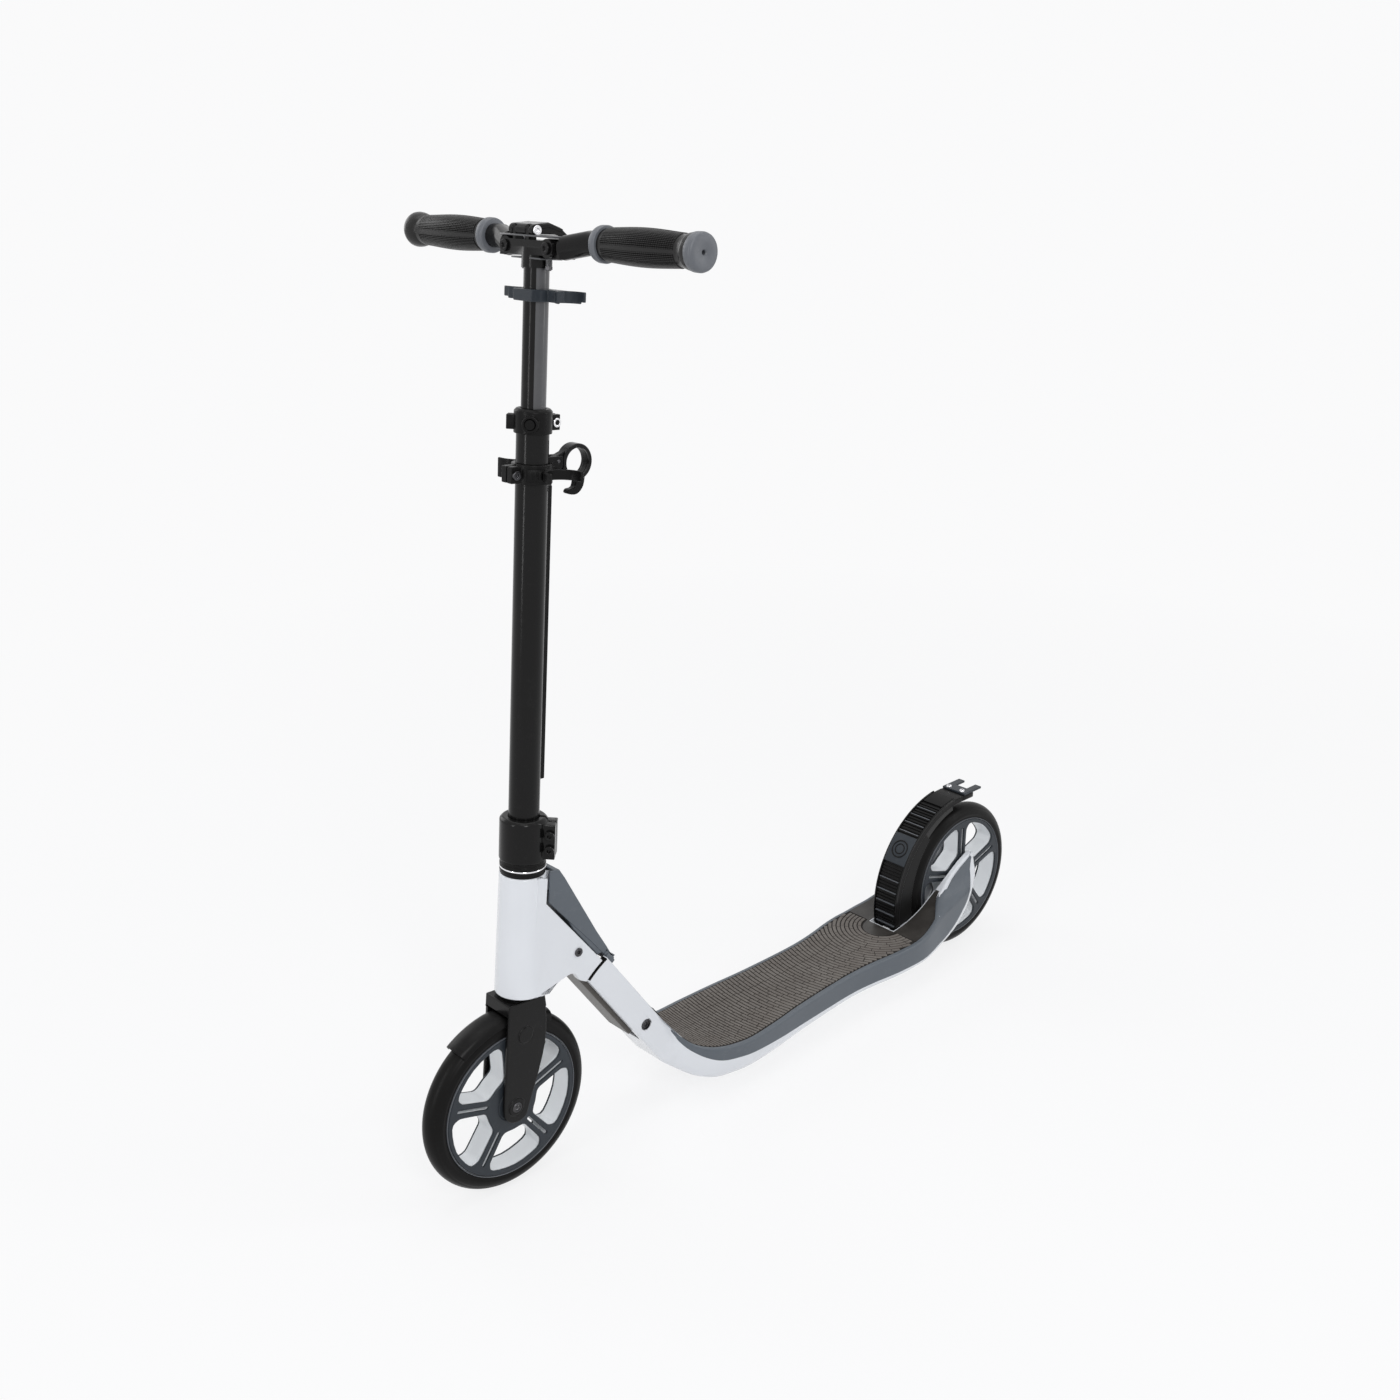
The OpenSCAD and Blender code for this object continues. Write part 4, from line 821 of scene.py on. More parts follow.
def lay_bricks(bm):
    """Rows of bricks on circles about the head of the wheel slot, out to the mat's edges."""
    sizes = bpy.context.scene.scooter_sizes
    pitch, gap, rise = sizes.brick_pitch / MM, sizes.brick_gap / MM, sizes.brick_rise / MM
    long = sizes.brick_length / MM
    centre, radius, row = SLOT_X + 0.5, PLAIN_NOSE, 0
    while centre + radius < MAT_NOSE - 3:
        # rows draw together towards the nose
        deep = pitch * (1 - 0.26 * ramp(centre + radius, -20, 150))
        mean = radius + deep / 2
        limit = 0.0
        while limit < math.radians(88):
            if mean * math.sin(limit) > mat_half(centre + mean * math.cos(limit), 7.0):
                break
            limit += 0.6 / mean
        at = -limit + long * (0.35 + 0.65 * ((row * 0.618) % 1)) / mean
        marks = [-limit]
        k = 0
        while at < limit - 0.35 * long / mean:
            marks.append(at)
            at += long * (0.62 + 0.76 * ((row * 0.377 + k * 0.618) % 1)) / mean
            k += 1
        for start, end in zip(marks, marks[1:] + [limit]):
            wide = (end - start) * mean - gap * 0.6
            if wide > 1.2:
                lay_brick(bm, centre, mean, (start + end) / 2, deep - gap, wide)
        radius += deep
        row += 1
    # every foot is raised, then closed with a small chamfer
    chamfer = 0.25
    made = bmesh.ops.extrude_face_region(bm, geom=list(bm.faces))["geom"]
    bmesh.ops.translate(bm, verts=corners(made), vec=(0, 0, (rise + 0.05 - chamfer) * MM))
    bmesh.ops.recalc_face_normals(bm, faces=bm.faces)
    tops = [g for g in made if isinstance(g, bmesh.types.BMFace)]
    bmesh.ops.inset_region(bm, faces=tops, thickness=chamfer * MM, depth=chamfer * MM, use_even_offset=True)


def lay_brick(bm, centre, mean, turn, deep, wide):
    """The foot of one brick, bent to its row's circle."""
    steps = 1 + min(4, int(wide / math.sqrt(mean)))

    def foot(i, j):
        out, angle = mean + deep * (j - 0.5), turn + wide * (i / steps - 0.5) / mean
        x, y = centre + out * math.cos(angle), out * math.sin(angle)
        return Vector((x, y, top_height(x) - 0.5)) * MM

    sheet(bm, steps, 1, foot)


# ---- Wheels ----

TYRE_OUT, TYRE_IN, TYRE_HALF = 102.5, 84.0, 14.5
SPOKES, FIRST_SPOKE, HUB_HALF = 5, 18.0, 13.5
# half widths of a spoke as packed and as shown
SPOKE_HALF, SLIM_HALF = 11.0, 7.8
# radii of the windows as packed, their outer radius as shown, and where they start to widen
WINDOW_IN, WINDOW_OUT, WIDE_OUT, WIDEN_FROM = 28.0, 71.0, 77.0, 40


def open_windows(place, hub):
    """Moves a place in a wheel so that the spokes are slimmer and the windows reach nearer to the tyre."""
    across, up = (place.x - hub.x) / MM, (place.z - hub.z) / MM
    reach = math.hypot(across, up)
    if not WINDOW_IN - 1 < reach < TYRE_IN - 5:
        return place
    step = math.tau / SPOKES
    aim = math.atan2(up, across) - math.radians(FIRST_SPOKE)
    spoke = round(aim / step) * step
    off = abs(aim - spoke)
    broad = math.asin(SPOKE_HALF / reach)
    slim = broad + (math.asin(SLIM_HALF / reach) - broad) * ramp(reach, WINDOW_IN, 10)
    if off < broad:
        turn = off * slim / broad
    else:
        turn = slim + (off - broad) * (step / 2 - slim) / (step / 2 - broad)
    if reach > WIDEN_FROM:
        reach = WIDEN_FROM + (reach - WIDEN_FROM) * (WIDE_OUT - WIDEN_FROM) / (WINDOW_OUT - WIDEN_FROM)
    turn = math.copysign(turn, aim - spoke) + spoke + math.radians(FIRST_SPOKE)
    return Vector((hub.x + reach * math.cos(turn) * MM, place.y, hub.z + reach * math.sin(turn) * MM))


def make_wheel(end, hub, body):
    """A tyre with two fine grooves, the core and face plates, hub caps and raised beads round the rim."""
    tyre, caps, beads = (bmesh.new() for _ in range(3))
    centre = TYRE_OUT - TYRE_HALF
    flank = [(TYRE_IN, 12.9), (TYRE_IN + 0.5, 13.4), (TYRE_IN + 2.2, 13.9), (TYRE_IN + 3.2, 13.8)]
    tread = []
    for k in range(41):
        angle = 88 - 176 * k / 40
        reach, turn = TYRE_HALF - (0.35 if abs(abs(angle) - 52) < 3 else 0), math.radians(angle)
        tread.append((centre + reach * math.cos(turn), reach * math.sin(turn)))
    profile = [(TYRE_IN, -12.9), *flank, *tread, *((r, -h) for r, h in reversed(flank[1:]))]
    turned(tyre, profile, 128, beside(hub, 1, 0))
    bmesh.ops.recalc_face_normals(tyre, faces=tyre.faces)
    piece(end + "_tyre_skin", tyre, body, "tyre", end + "_tyre")
    for part, look, bevel in (("core", "core", 0.5), ("faces", "dark slate", 1.3)):
        rounded(
            body, end + "_wheel_" + part, look, bevel, 3, name=end + "_" + part + "_skin",
            reshape=lambda place: open_windows(place, hub),
        )
    cap, rim = HUB_HALF + 1.1, TYRE_IN - 0.9
    for side in (-1, 1):
        where = beside(hub, side, 0)
        turned(caps, [(7.6, cap), (17.4, cap), (18.4, cap - 0.9), (18.4, 11.4), (7.6, 11.4)], 48, where)
        bead = [(0, 11.2), (1, 11.2), (1, 14.3), (0.6, 14.8), (0.2, 14.6), (0, 14.1)]
        turned(beads, [(rim + r, h) for r, h in bead], 96, where)
    piece(end + "_hub_caps", caps, body, "dark slate")
    piece(end + "_rim_beads", beads, body, "slate", smooth=50)


# ---- Brake ----

FENDER_X, FENDER_Z = -372.0, 98.0
FENDER_OUT, FENDER_HALF, RIB_HALF = 131.0, 19.0, 15.8
# the angle at which a group of ribs starts, and how many there are in it
RIB_GROUPS = [(-9, 3), (-2, 3), (5, 3), (12, 3), (19, 4), (48.6, 2), (54.6, 2), (60.6, 2), (66.6, 2)]
PIN_X, PIN_Z = -250.0, 64.0
CATCH_TOP = 230.0


def fender_slab(bm, low, high, start, end, near, far, step=1.2):
    """A curved bar on the fender, between two heights over its back and two angles, from one Y to another."""
    steps = max(2, math.ceil(abs(end - start) / step))
    outer = arc(FENDER_X, FENDER_Z, FENDER_OUT + high, start, end, steps)
    prism(bm, outer + arc(FENDER_X, FENDER_Z, FENDER_OUT + low, end, start, steps), near, far)


def make_brake():
    arch, ribs, highlight_bars, rims, boss, ring, walls, knuckle, tail, screws = (bmesh.new() for _ in range(10))
    fender_slab(arch, -8.8, -1.6, -14.5, 91, -FENDER_HALF, FENDER_HALF, 2.5)
    piece("fender_arch", arch, "brake", "black", "brake_fender", smooth=35, bevel=0.9)
    for start, count in RIB_GROUPS:
        # a thin slate bar opens each group of fine ribs: a painted highlight on the group's edge
        fender_slab(highlight_bars, -2.2, 1.0, start - 0.2, start + 0.2, -RIB_HALF, RIB_HALF)
        fender_slab(ribs, -2.2, 0.9, start - 1.0, start - 0.1, -RIB_HALF, RIB_HALF)
        for k in range(count):
            at = start + 1.3 + 1.9 * k
            fender_slab(ribs, -2.2, 0.2, at, at + 1.15, -RIB_HALF, RIB_HALF)
    fender_slab(ribs, -2.2, 0.6, 72.6, 83.5, -RIB_HALF, RIB_HALF, 2)
    piece("fender_ribs", ribs, "brake", "black", smooth=30, bevel=0.35)
    # the slate bars are painted highlights along the edges of the rib groups
    piece("fender_bars", highlight_bars, "brake", "slate", smooth=30)
    for near, far in ((-FENDER_HALF, -FENDER_HALF + 2.1), (FENDER_HALF - 2.1, FENDER_HALF)):
        fender_slab(rims, -2.5, 1.1, -12, 83.5, near, far, 2.5)
    piece("fender_rims", rims, "brake", "coat", slot="black_plastic", smooth=35, bevel=0.6)
    # a square boss with two plain rings, half way up
    fender_slab(boss, -2.2, 1.3, 28.6, 46.6, -17.6, 17.6, 2)
    piece("fender_boss", boss, "brake", "dark slate", smooth=35, bevel=1.1, segments=3)
    aim = math.radians(37.6)
    out = Vector((math.cos(aim), 0, math.sin(aim)))
    where = turned_frame((Vector((FENDER_X, 0, FENDER_Z)) + out * (FENDER_OUT + 1.0)) * MM, out)
    for small, large, steps in ((10.6, 12.2, 48), (6.0, 7.4, 40)):
        crown = [(large, 0.6), (large - 0.4, 0.95), (small + 0.4, 0.95), (small, 0.6)]
        turned(ring, [(small, -0.5), (large, -0.5), *crown], steps, where)
    piece("fender_boss_ring", ring, "brake", "black")
    inner = []
    for k in range(23):
        turn = math.radians(53 - 63 * k / 22)
        # the far side of a circle set back from the arch's centre
        a, b = math.cos(turn) * 20 - math.sin(turn) * 4, 20**2 + 4**2 - (FENDER_OUT - 12) ** 2
        reach = -a + math.sqrt(a * a - b)
        inner.append((FENDER_X + reach * math.cos(turn), FENDER_Z + reach * math.sin(turn)))
    outline = arc(FENDER_X, FENDER_Z, FENDER_OUT - 2.2, -10, 53, 22) + inner
    for near, far in ((-FENDER_HALF + 0.2, -15.5), (15.5, FENDER_HALF - 0.2)):
        prism(walls, outline, near, far)
    piece("fender_side_walls", walls, "brake", "black", smooth=35, bevel=0.5)
    for near, far in ((-FENDER_HALF, -6.6), (6.6, FENDER_HALF)):
        rod(knuckle, (PIN_X, near, PIN_Z), (PIN_X, far, PIN_Z), 8, 0.6, hole=4.1)
    piece("fender_knuckle", knuckle, "brake", "black")
    block(tail, (-396, -FENDER_HALF, CATCH_TOP - 10), (-372, FENDER_HALF, CATCH_TOP - 3.1), edge=0.8)
    piece("fender_tail", tail, "brake", "black", smooth=35)
    rounded("brake", "catch_plate", "dark slate", 0.7, 3, slot="black_paint")
    for side in (-1, 1):
        hex_screw(screws, 3.6, 2.4, Matrix.Translation(Vector((-381, side * 11, CATCH_TOP)) * MM), 1.7)
    piece("tail_screw_heads", screws, "brake", "chrome", "tail_screws", smooth=35)


# ---- Head and neck ----


def side_view(places):
    """Places in metres as points of an outline in the side view, in millimetres."""
    return [(p.x / MM, p.z / MM) for p in places]


def make_head():
    shine, cover, bolts = (bmesh.new() for _ in range(3))
    rounded("head", "head_shell", "white", 1.4, 3, merge=0.05)
    rounded("head", "neck_tongue", "taupe", 1.0, 3)
    rounded("head", "headset_ring", "black", 0.5)
    ring = [(20, 268.6), (24.0, 268.6), (24.3, 269.0), (24.3, 269.8), (24.0, 270.2), (20, 270.2)]
    turned(shine, ring, 72, STEER)
    piece("headset_bright_ring", shine, "head", "chrome", smooth=50)
    rounded("fold_lever", "fold_lever", "trim", 1.3, 3)
    # the lever's smooth back, which also hides the ears that carry it
    outer = [
        at_steer(-27, 0, 262), at_steer(-34, 0, 261), at_steer(-41.8, 0, 250), at_neck(150, 0, -30),
        at_neck(113, 0, -26.2),
    ]
    inner = [
        at_neck(113, 0, -24.2), at_neck(150, 0, -28), at_steer(-40.2, 0, 249), at_steer(-34, 0, 258.6),
        at_steer(-27, 0, 259.6),
    ]
    cheek = outer[:4] + [
        at_neck(120, 0, -27), at_neck(119, 0, -19), at_neck(146, 0, -17.6), at_steer(-21.6, 0, 226),
        at_steer(-21.6, 0, 262),
    ]
    prism(cover, side_view(outer + inner), -18.3, 18.3)
    for near, far in ((-18.6, -16.5), (16.5, 18.6)):
        prism(cover, side_view(cheek), near, far)
    piece("lever_cover", cover, "fold_lever", "trim", bevel=0.7)
    rounded("head", "head_screws", "black steel", 0.5, name="head_screw_skins")
    for side in (-1, 1):
        collar = [(5.1, 0), (6.5, 0), (6.5, 4.2), (6.1, 4.6), (5.1, 4.6)]
        turned(bolts, collar, 40, beside(fold_at, side, 21.5))
        hex_screw(bolts, 5.0, 1.6, beside(fold_at, side, 23.4), 2.7)
    piece("fold_bolt_heads", bolts, "deck", "black steel", "fold_pivot_bolt", slot="black_paint")


# ---- Fork ----


def make_fork():
    guard, heads = bmesh.new(), bmesh.new()
    rounded("steering", "fork", "coat", 1.2, 3)
    # the mudguard's section, over the outside and back under the inside, as (y, radius)
    half = [
        (0, 107.5), (5, 107.2), (9.5, 106.2), (13, 104.4), (15.2, 101.6), (16, 97.5),
        (15.0, 97.2), (14.2, 101.0), (12.2, 103.3), (9, 104.7), (5, 105.3), (0, 105.5),
    ]
    section = half + [(-y, r) for y, r in reversed(half[1:-1])]
    rings = []
    for k in range(31):
        turn = math.radians(50 + 69 * k / 30)
        # the front edge is a little thicker
        lips = [(y, r + 0.7 if k < 2 and r > 105.4 else r) for y, r in section]
        rings.append([at_steer(FORK_OFFSET + r * math.cos(turn), y, r * math.sin(turn)) for y, r in lips])
    loft(guard, rings)
    block(guard, (-7.5, -16, 104.5), (21.5, 16, 108), STEER, 0.4)
    piece("front_mudguard_skin", guard, "steering", "black", "front_mudguard", bevel=0.5)
    for side in (-1, 1):
        hex_screw(heads, 5.8, 2.6, beside(front_hub, side, 21.2), 3.2)
    piece("front_axle_heads", heads, "steering", "black steel", smooth=35)


# ---- Column ----

COLUMN_OUT = 16.0
COLLAR_Z, COLLAR_OUT = 724.0, 18.5
CLIP_Z = 676.0


def make_column():
    ear, panel, socket_shades, band, sheen_strip = (bmesh.new() for _ in range(5))
    rounded("steering", "column_clamp", "coat", 1.1, 3)
    rounded("steering", "clamp_bolts", "coat", 0.5, slot="chrome", name="clamp_bolt_skins")
    rounded("steering", "outer_tube", "coat", 0.5)
    rounded("steering", "rear_strip", "black", 0.9, 3)
    rounded("steering", "height_collar", "black", 0.7, 3)
    rounded("steering", "collar_bolt", "chrome", 0.5)
    # an ear with two slots across from the clamping bolt
    turn = STEER @ Matrix.Rotation(math.radians(-45), 4, "Z")
    for near, far in ((-6, -2.4), (-1.6, 1.6), (2.4, 6)):
        block(ear, (COLLAR_OUT - 1.5, near, COLLAR_Z - 7), (COLLAR_OUT + 6.5, far, COLLAR_Z + 7), turn, 0.7)
    block(ear, (COLLAR_OUT - 1.5, -5.4, COLLAR_Z - 6.2), (COLLAR_OUT + 5.2, 5.4, COLLAR_Z + 6.2), turn, 0.4)
    piece("collar_ear", ear, "steering", "black", smooth=35)
    # a raised panel with three bars on the lower clip
    turn = STEER @ Matrix.Rotation(math.radians(62), 4, "Z")
    block(panel, (COLUMN_OUT + 3.2, -8, CLIP_Z - 5.5), (COLUMN_OUT + 5.0, 8, CLIP_Z + 5.5), turn, 0.5)
    for y in (-4.6, 0, 4.6):
        low, high = (COLUMN_OUT + 4.6, y - 1.5, CLIP_Z - 4), (COLUMN_OUT + 5.6, y + 1.5, CLIP_Z + 4)
        block(panel, low, high, turn, 0.3)
    piece("clip_panel", panel, "steering", "black", smooth=35)
    rounded("steering", "lower_clip", "black", 0.8, 3)
    rounded("steering", "clip_screw", "black steel", 0.5, slot="chrome")
    # black hexagonal plugs in the collar bolt's sockets: painted shade inside the recesses
    x, z = -COLUMN_OUT - 6.5, CLIP_Z + 48
    for side in (-1, 1):
        rod(socket_shades, (x, side * 7.6, z), (x, side * 9.1, z), 2.7, 0.1, STEER, steps=6)
    piece("collar_bolt_sockets", socket_shades, "steering", "black", smooth=35)
    rounded("catch_hook", "catch_hook", "black", 0.9, 3)
    profile = [(14.2, -6.2), (17.4, -6.2), (18.1, -5.4), (18.1, 5.4), (17.4, 6.2), (14.2, 6.2)]
    turned(band, profile, 64, beside(at_steer(-51.3, 0, CLIP_Z + 7.7), 1, 0))
    piece("catch_ring_band", band, "catch_hook", "coat", slot="black_plastic", smooth=35)
    rounded("bar_stem", "inner_tube", "coat", 0.4)
    # a strip, a little proud, down one side of the inner tube for a flat face on it; its lighter grey is a painted
    # reflection of the side light
    turns = [math.radians(t) for t in range(52, 137, 6)]
    section = [(12.12, t) for t in turns] + [(11.6, t) for t in reversed(turns)]
    heights = (470, 600, 733, 800, 866)
    loft(sheen_strip, [[at_steer(r * math.cos(t), r * math.sin(t), z) for r, t in section] for z in heights])
    piece("inner_tube_flat", sheen_strip, "bar_stem", "graphite")
    rounded("bar_stem", "upper_clip", "dark slate", 0.8, 3, slot="black_plastic")


# ---- Handlebar ----

BAR_Z, GRIP_Z, SWEEP = 884.0, 891.0, -10.0
# along a grip, from its inner end: the collar, the sleeve's swelling part and the bore
COLLAR_END, SLEEVE_LONG, BORE = 9.2, 106.0, 11.05


def make_handlebar():
    wedge, plates = bmesh.new(), bmesh.new()
    rounded("bar_stem", "bar_bracket", "coat", 0.7, slot="dark_slate", merge=0.1, clamp=True)
    rounded("bar_stem", "bar_pivot_bolts", "coat", 0.5, slot="chrome", name="bar_pivot_bolt_skins", clamp=True)
    rounded("bar_stem", "lock_axle", "chrome", 0.4)
    for label, _ in SIDES:
        rounded(label + "_bar", label + "_bar", "coat", 0, smooth=42, merge=0.1)
    rounded("bar_lock", "bar_lock_lever", "coat", 1.0, 3, slot="slate", name="bar_lock_skin")
    # the lever's thick tail, which lies over the bracket's rear edge
    outline = [(7, 11.9), (8.5, 20.2), (-8, 22.4), (-22, 18.2), (-35, 8.6), (-34.2, 6.8), (-15.5, 11.9)]
    prism(wedge, [(x, BAR_Z + z) for x, z in outline], -26.5, 6.5, STEER)
    piece("bar_lock_tail", wedge, "bar_lock", "coat", slot="slate", smooth=35, bevel=1.0, segments=3)
    block(plates, (-13, -40, BAR_Z + 9.2), (13, 40, BAR_Z + 10.8), STEER, 0.4)
    block(plates, (-13, -22, BAR_Z - 10.4), (13, 22, BAR_Z - 8.8), STEER, 0.4)
    for y in (-18, 18):
        rod(plates, (0, y, BAR_Z - 15), (0, y, BAR_Z - 10), 3.2, 0.5, STEER, steps=6)
    piece("bracket_plates", plates, "bar_stem", "graphite", smooth=35)
    for label, side in SIDES:
        make_grip(label, side)


def make_grip(label, side):
    """A swelling rubber sleeve with raised pads, a collar and an end cap."""
    collar, sleeve, cap = (bmesh.new() for _ in range(3))
    body = label + "_bar"
    belly = bpy.context.scene.scooter_sizes.grip_belly / MM
    where = turned_frame(at_steer(SWEEP, side * 80, GRIP_Z), (0, side, 0))
    ring = [(BORE, 0), (15.0, 0), (15.9, 0.7), (16.5, 2.4), (16.6, 7.6), (16.1, 8.8), (BORE, COLLAR_END)]
    turned(collar, ring, 72, where)
    piece(label + "_grip_collar", collar, body, "slate", label + "_grip")
    line = [(BORE, COLLAR_END)]
    for k in range(41):
        t = k / 40
        swell = math.sin(math.pi * min(1.0, t * 1.06)) ** 1.2 if t < 0.94 else 0.0
        line.append((14.1 + belly * swell, COLLAR_END + SLEEVE_LONG * t))
    if side > 0:
        flange = [(14.6, 116.6), (15.4, 118.2), (15.9, 120.6), (15.9, 124.6), (BORE, 124.6)]
        rim = [
            (2.0, 124.4), (16.2, 124.4), (16.8, 125.2), (16.9, 130.6), (16.3, 132.6), (15.0, 133.7), (13.2, 134.0),
        ]
    else:
        # the right grip's flange closes its end in grip rubber, with only a small slate disc: painted shade, for the
        # far end that faces away from the light, though both grips are alike
        flange = [
            (14.7, 116.2), (15.9, 119.2), (16.8, 123), (17.2, 127), (16.9, 130), (15.9, 132.4), (14.2, 133.8),
            (BORE, 134),
        ]
        rim = [(2.0, 133.0), (11.4, 133.0), (11.9, 134.1), (11.5, 134.5)]
    turned(sleeve, line + flange, 60, where)
    bmesh.ops.recalc_face_normals(sleeve, faces=sleeve.faces)
    inward = where.inverted()
    pads = []
    for face in sleeve.faces:
        p = inward @ face.calc_center_median() / MM
        turn = math.degrees(math.atan2(p.y, p.x)) % 90
        if math.hypot(p.x, p.y) > 13.8 and 14 < p.z < 111 and 8 < turn < 82:
            pads.append(face)
    bmesh.ops.inset_individual(sleeve, faces=pads, thickness=0.48 * MM, depth=0.75 * MM)
    piece(label + "_grip_sleeve", sleeve, body, "grip", smooth=28)
    end = rim[-1][1]
    turned(cap, rim + [(3.4, end), (2.6, end - 0.6), (2.0, end - 1.2)], 72, where)
    piece(label + "_grip_cap", cap, body, "slate")


# ---- Carried-over pieces ----


def dress_small_parts():
    """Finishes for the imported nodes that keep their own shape."""
    for look, *nodes in (
        ("alloy", "deck_beam"),
        (
            "steel", "latch_pin", "rear_axle", "rear_spacers", "fender_pin", "rear_bearings",
            "rear_bearing_spacer", "fender_spring", "headset_bearings", "steerer_tube", "front_axle",
            "front_spacers", "front_bearings", "front_bearing_spacer",
        ),
        ("grip", "fold_stop", "brake_pad"),
        ("brass", "pivot_bushes"),
        ("black", "top_bush", "height_button"),
        ("black steel", "lock_pins"),
    ):
        for node in nodes:
            for place in frame["nodes"][node].material_slots:
                place.material = finish(look)


# ---- Stage ----


def make_camera():
    data = bpy.data.cameras.new("camera")
    data.sensor_fit, data.sensor_width, data.lens = "HORIZONTAL", 36, 1573.39 / 1400 * 36
    data.clip_start, data.clip_end = 0.05, 100
    camera = bpy.data.objects.new("camera", data)
    bpy.context.scene.collection.objects.link(camera)
    yaw, pitch, roll = (math.radians(a) for a in (-132.82, -20.64, -0.63))
    ahead = Vector((math.cos(pitch) * math.cos(yaw), math.cos(pitch) * math.sin(yaw), math.sin(pitch)))
    right = ahead.cross(Vector((0, 0, 1))).normalized()
    up = right.cross(ahead)
    tilted_right = right * math.cos(roll) + up * math.sin(roll)
    tilted_up = up * math.cos(roll) - right * math.sin(roll)
    turn = Matrix((tilted_right, tilted_up, -ahead)).transposed().to_4x4()
    camera.matrix_world = Matrix.Translation((1.20275, 1.20032, 1.10032)) @ turn
    bpy.context.scene.camera = camera


def backdrop_mix(tree, shown, lit, share=1.0):
    """Mixes a plain glow, for rays that come straight, by a mirror or through glass, into a lit shader."""
    rays = add_node(tree, "ShaderNodeLightPath").outputs
    seen = combined(tree, "MAXIMUM", rays["Is Camera Ray"], rays["Is Glossy Ray"])
    seen = times(tree, combined(tree, "MAXIMUM", seen, rays["Is Transmission Ray"]), share)
    return add_node(tree, "ShaderNodeMixShader", {"Fac": seen, 1: lit, 2: shown}).outputs["Shader"]


WHITE = (0.955, 0.955, 0.96, 1)
# name, place, size and power
LAMPS = [
    ("key", (1.3, 2.4, 2.2), (0.7, 1.3), 27),
    ("front", (2.8, 0.1, 1.3), (0.18, 2.2), 14),
    ("rear", (-1.9, 2.0, 1.4), (0.2, 2.1), 12),
    ("over", (0.0, 0.0, 3.0), (2.2, 2.2), 20),
    ("far", (0.6, -2.6, 1.6), (1.2, 1.6), 11),
]
LAMPS_AIM = Vector((0.05, 0, 0.35))


def make_floor():
    bm = bmesh.new()
    bmesh.ops.create_grid(bm, x_segments=4, y_segments=4, size=60)
    mesh = bpy.data.meshes.new("floor")
    bm.to_mesh(mesh)
    bm.free()
    floor = bpy.data.objects.new("floor", mesh)
    floor.location.z = -0.0002
    bpy.context.scene.collection.objects.link(floor)
    material, tree, _ = new_material("Studio Floor")
    tree.nodes.clear()
    # far from the object the floor is as plain as the backdrop
    place = add_node(tree, "ShaderNodeTexCoord").outputs["Object"]
    away = add_node(tree, "ShaderNodeVectorMath", {0: place}, operation="LENGTH").outputs["Value"]
    lit = add_node(tree, "ShaderNodeBsdfDiffuse", {"Color": (0.90, 0.90, 0.905, 1)}).outputs[0]
    glow = {"Color": WHITE, "Strength": stretch(tree, away, 0.8, 2.2, 1.055, 1.0)}
    glow = add_node(tree, "ShaderNodeEmission", glow).outputs[0]
    surface = backdrop_mix(tree, glow, lit, stretch(tree, away, 0.8, 2.2, 0.78, 1.0))
    add_node(tree, "ShaderNodeOutputMaterial", {"Surface": surface})
    mesh.materials.append(material)


def make_stage():
    scene = bpy.context.scene
    scene.view_settings.view_transform = "Standard"
    make_floor()
    scene.world = bpy.data.worlds.new("Studio")
    scene.world.use_nodes = True
    tree = scene.world.node_tree
    tree.nodes.clear()
    room = add_node(tree, "ShaderNodeBackground", {"Color": (0.96, 0.98, 1.0, 1), "Strength": 0.40}).outputs[0]
    shown = add_node(tree, "ShaderNodeBackground", {"Color": WHITE, "Strength": 1.0}).outputs[0]
    add_node(tree, "ShaderNodeOutputWorld", {"Surface": backdrop_mix(tree, shown, room)})
    for name, place, size, power in LAMPS:
        data = bpy.data.lights.new(name, "AREA")
        data.shape, data.size, data.size_y, data.energy = "RECTANGLE", *size, power
        lamp = bpy.data.objects.new(name, data)
        scene.collection.objects.link(lamp)
        lamp.location = place
        lamp.rotation_euler = (LAMPS_AIM - Vector(place)).to_track_quat("-Z", "Y").to_euler()


# ---- Operators ----


class ScooterOperator(bpy.types.Operator):
    bl_options = {"REGISTER", "UNDO"}

    def execute(self, context):
        self.build()
        return {"FINISHED"}


class SCOOTER_OT_stage(ScooterOperator):
    """Set up the camera, the floor and the soft lights"""

    bl_idname = "scooter.stage"
    bl_label = "Stage"

    def build(self):
        make_camera()
        make_stage()


class SCOOTER_OT_wheels(ScooterOperator):
    """Build both wheels with their tyres, cores and face plates"""

    bl_idname = "scooter.wheels"
    bl_label = "Wheels"

    def build(self):
        make_wheel("front", front_hub, "front_wheel")
        make_wheel("rear", rear_hub, "rear_wheel")


class SCOOTER_OT_deck(ScooterOperator):
    """Build the deck's moulded shell"""

    bl_idname = "scooter.deck"
    bl_label = "Deck shell"

    def build(self):
        make_deck_shell()


class SCOOTER_OT_trims(ScooterOperator):
    """Build the side trims"""

    bl_idname = "scooter.trims"
    bl_label = "Side trims"

    def build(self):
        make_side_trims()


class SCOOTER_OT_mat(ScooterOperator):
    """Build the deck mat with its rows of raised bricks"""

    bl_idname = "scooter.mat"
    bl_label = "Deck mat"

    def build(self):
        make_mat()


class SCOOTER_OT_brake(ScooterOperator):
    """Build the ribbed fender brake"""

    bl_idname = "scooter.brake"
    bl_label = "Fender brake"

    def build(self):
        make_brake()


class SCOOTER_OT_head(ScooterOperator):
    """Build the head, its tongue and the fold lever"""

    bl_idname = "scooter.head"
    bl_label = "Head"

    def build(self):
        make_head()


class SCOOTER_OT_fork(ScooterOperator):
    """Build the fork and the front mudguard"""

    bl_idname = "scooter.fork"
    bl_label = "Fork"

    def build(self):
        make_fork()


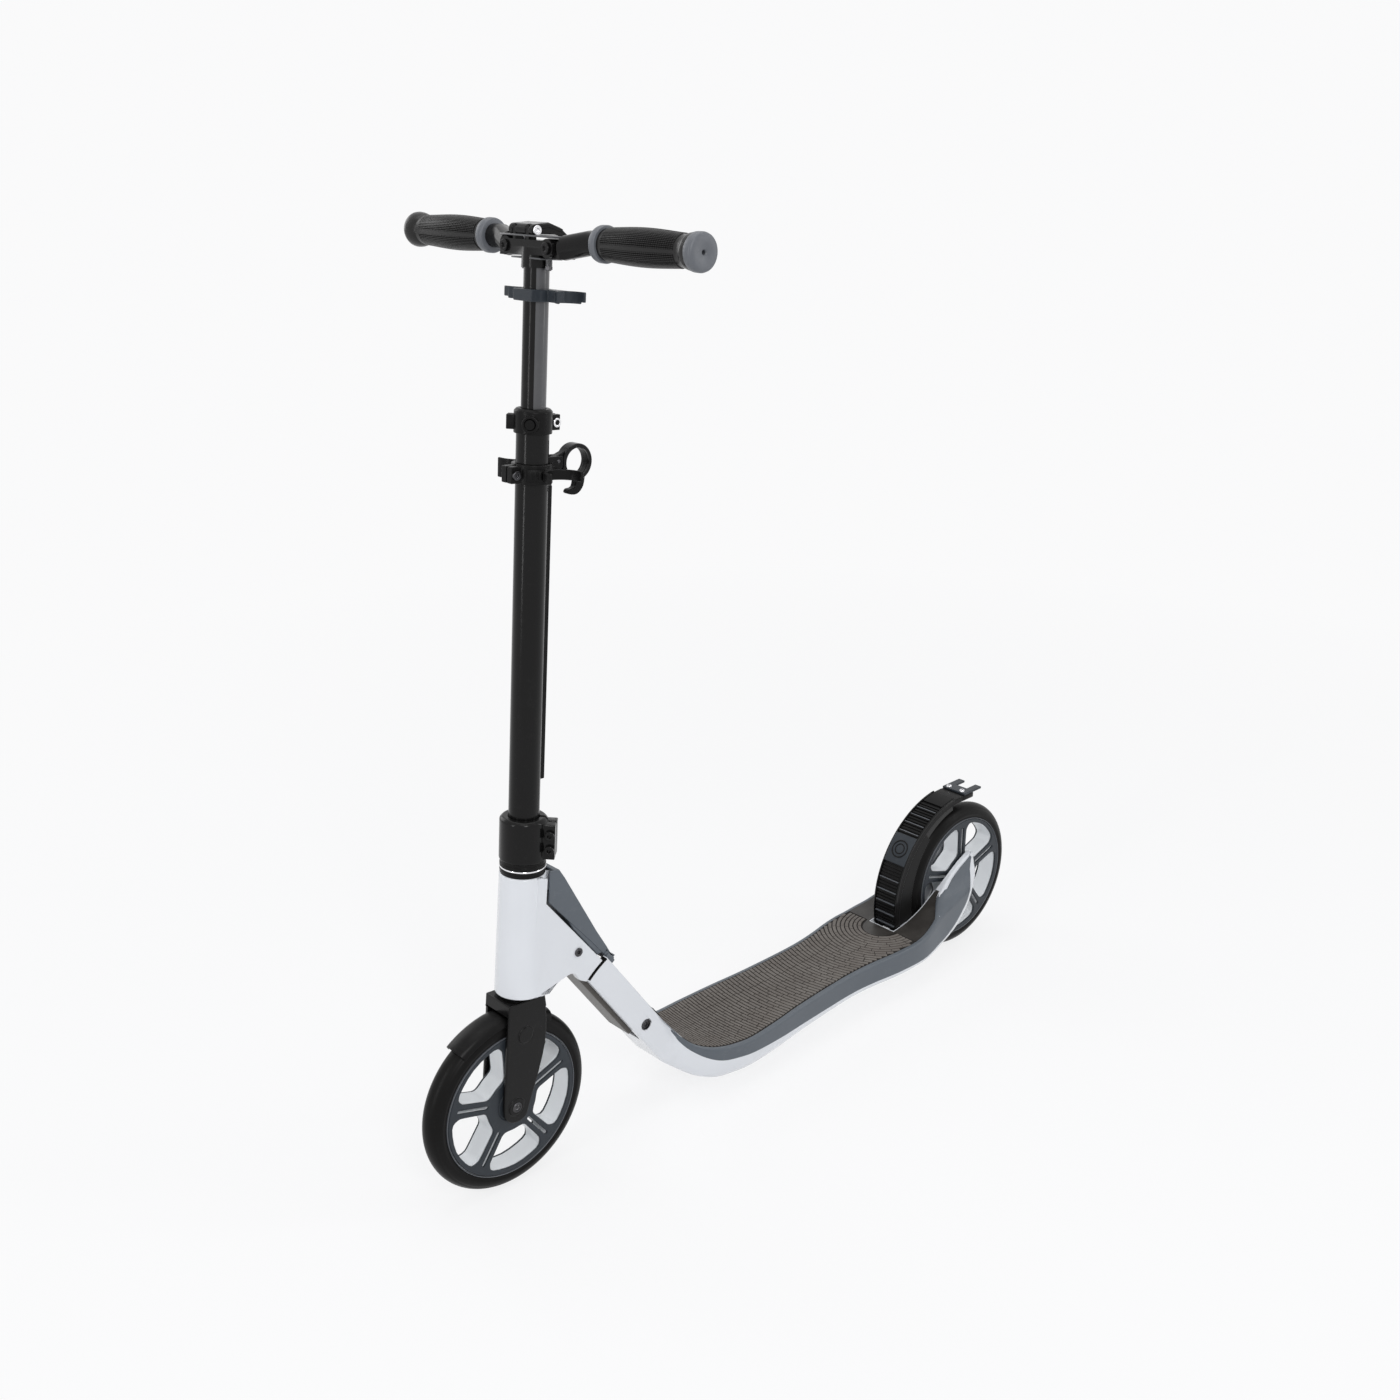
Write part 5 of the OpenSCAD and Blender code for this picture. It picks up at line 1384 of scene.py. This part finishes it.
class SCOOTER_OT_column(ScooterOperator):
    """Build the column with its clamp, collar, clips and catch hook"""

    bl_idname = "scooter.column"
    bl_label = "Column"

    def build(self):
        make_column()


class SCOOTER_OT_handlebar(ScooterOperator):
    """Build the handlebar halves, their bracket and the grips"""

    bl_idname = "scooter.handlebar"
    bl_label = "Handlebar"

    def build(self):
        make_handlebar()


class SCOOTER_OT_small_parts(ScooterOperator):
    """Give the remaining parts of the frame their finishes"""

    bl_idname = "scooter.small_parts"
    bl_label = "Small parts"

    def build(self):
        dress_small_parts()


OPERATORS = [
    SCOOTER_OT_stage,
    SCOOTER_OT_wheels,
    SCOOTER_OT_deck,
    SCOOTER_OT_trims,
    SCOOTER_OT_mat,
    SCOOTER_OT_brake,
    SCOOTER_OT_head,
    SCOOTER_OT_fork,
    SCOOTER_OT_column,
    SCOOTER_OT_handlebar,
    SCOOTER_OT_small_parts,
]


class SCOOTER_PT_panel(bpy.types.Panel):
    """Lists the scooter's settings and its building steps"""

    bl_idname = "SCOOTER_PT_panel"
    bl_label = "Kick Scooter"
    bl_space_type = "VIEW_3D"
    bl_region_type = "UI"
    bl_category = "Scooter"

    def draw(self, context):
        for group in (context.scene.scooter_sizes, context.scene.scooter_colours):
            for name in group.bl_rna.properties.keys():
                if name not in ("rna_type", "name"):
                    self.layout.prop(group, name)
        for operator in OPERATORS:
            self.layout.operator(operator.bl_idname)


CLASSES = [ScooterSizes, ScooterColours, *OPERATORS, SCOOTER_PT_panel]


def register():
    for made in CLASSES:
        bpy.utils.register_class(made)
    bpy.types.Scene.scooter_sizes = bpy.props.PointerProperty(type=ScooterSizes)
    bpy.types.Scene.scooter_colours = bpy.props.PointerProperty(type=ScooterColours)


def unregister():
    del bpy.types.Scene.scooter_colours
    del bpy.types.Scene.scooter_sizes
    for made in reversed(CLASSES):
        bpy.utils.unregister_class(made)


def main():
    register()
    for operator in OPERATORS:
        group, name = operator.bl_idname.split(".")
        getattr(getattr(bpy.ops, group), name)()


if __name__ == "__main__":
    main()
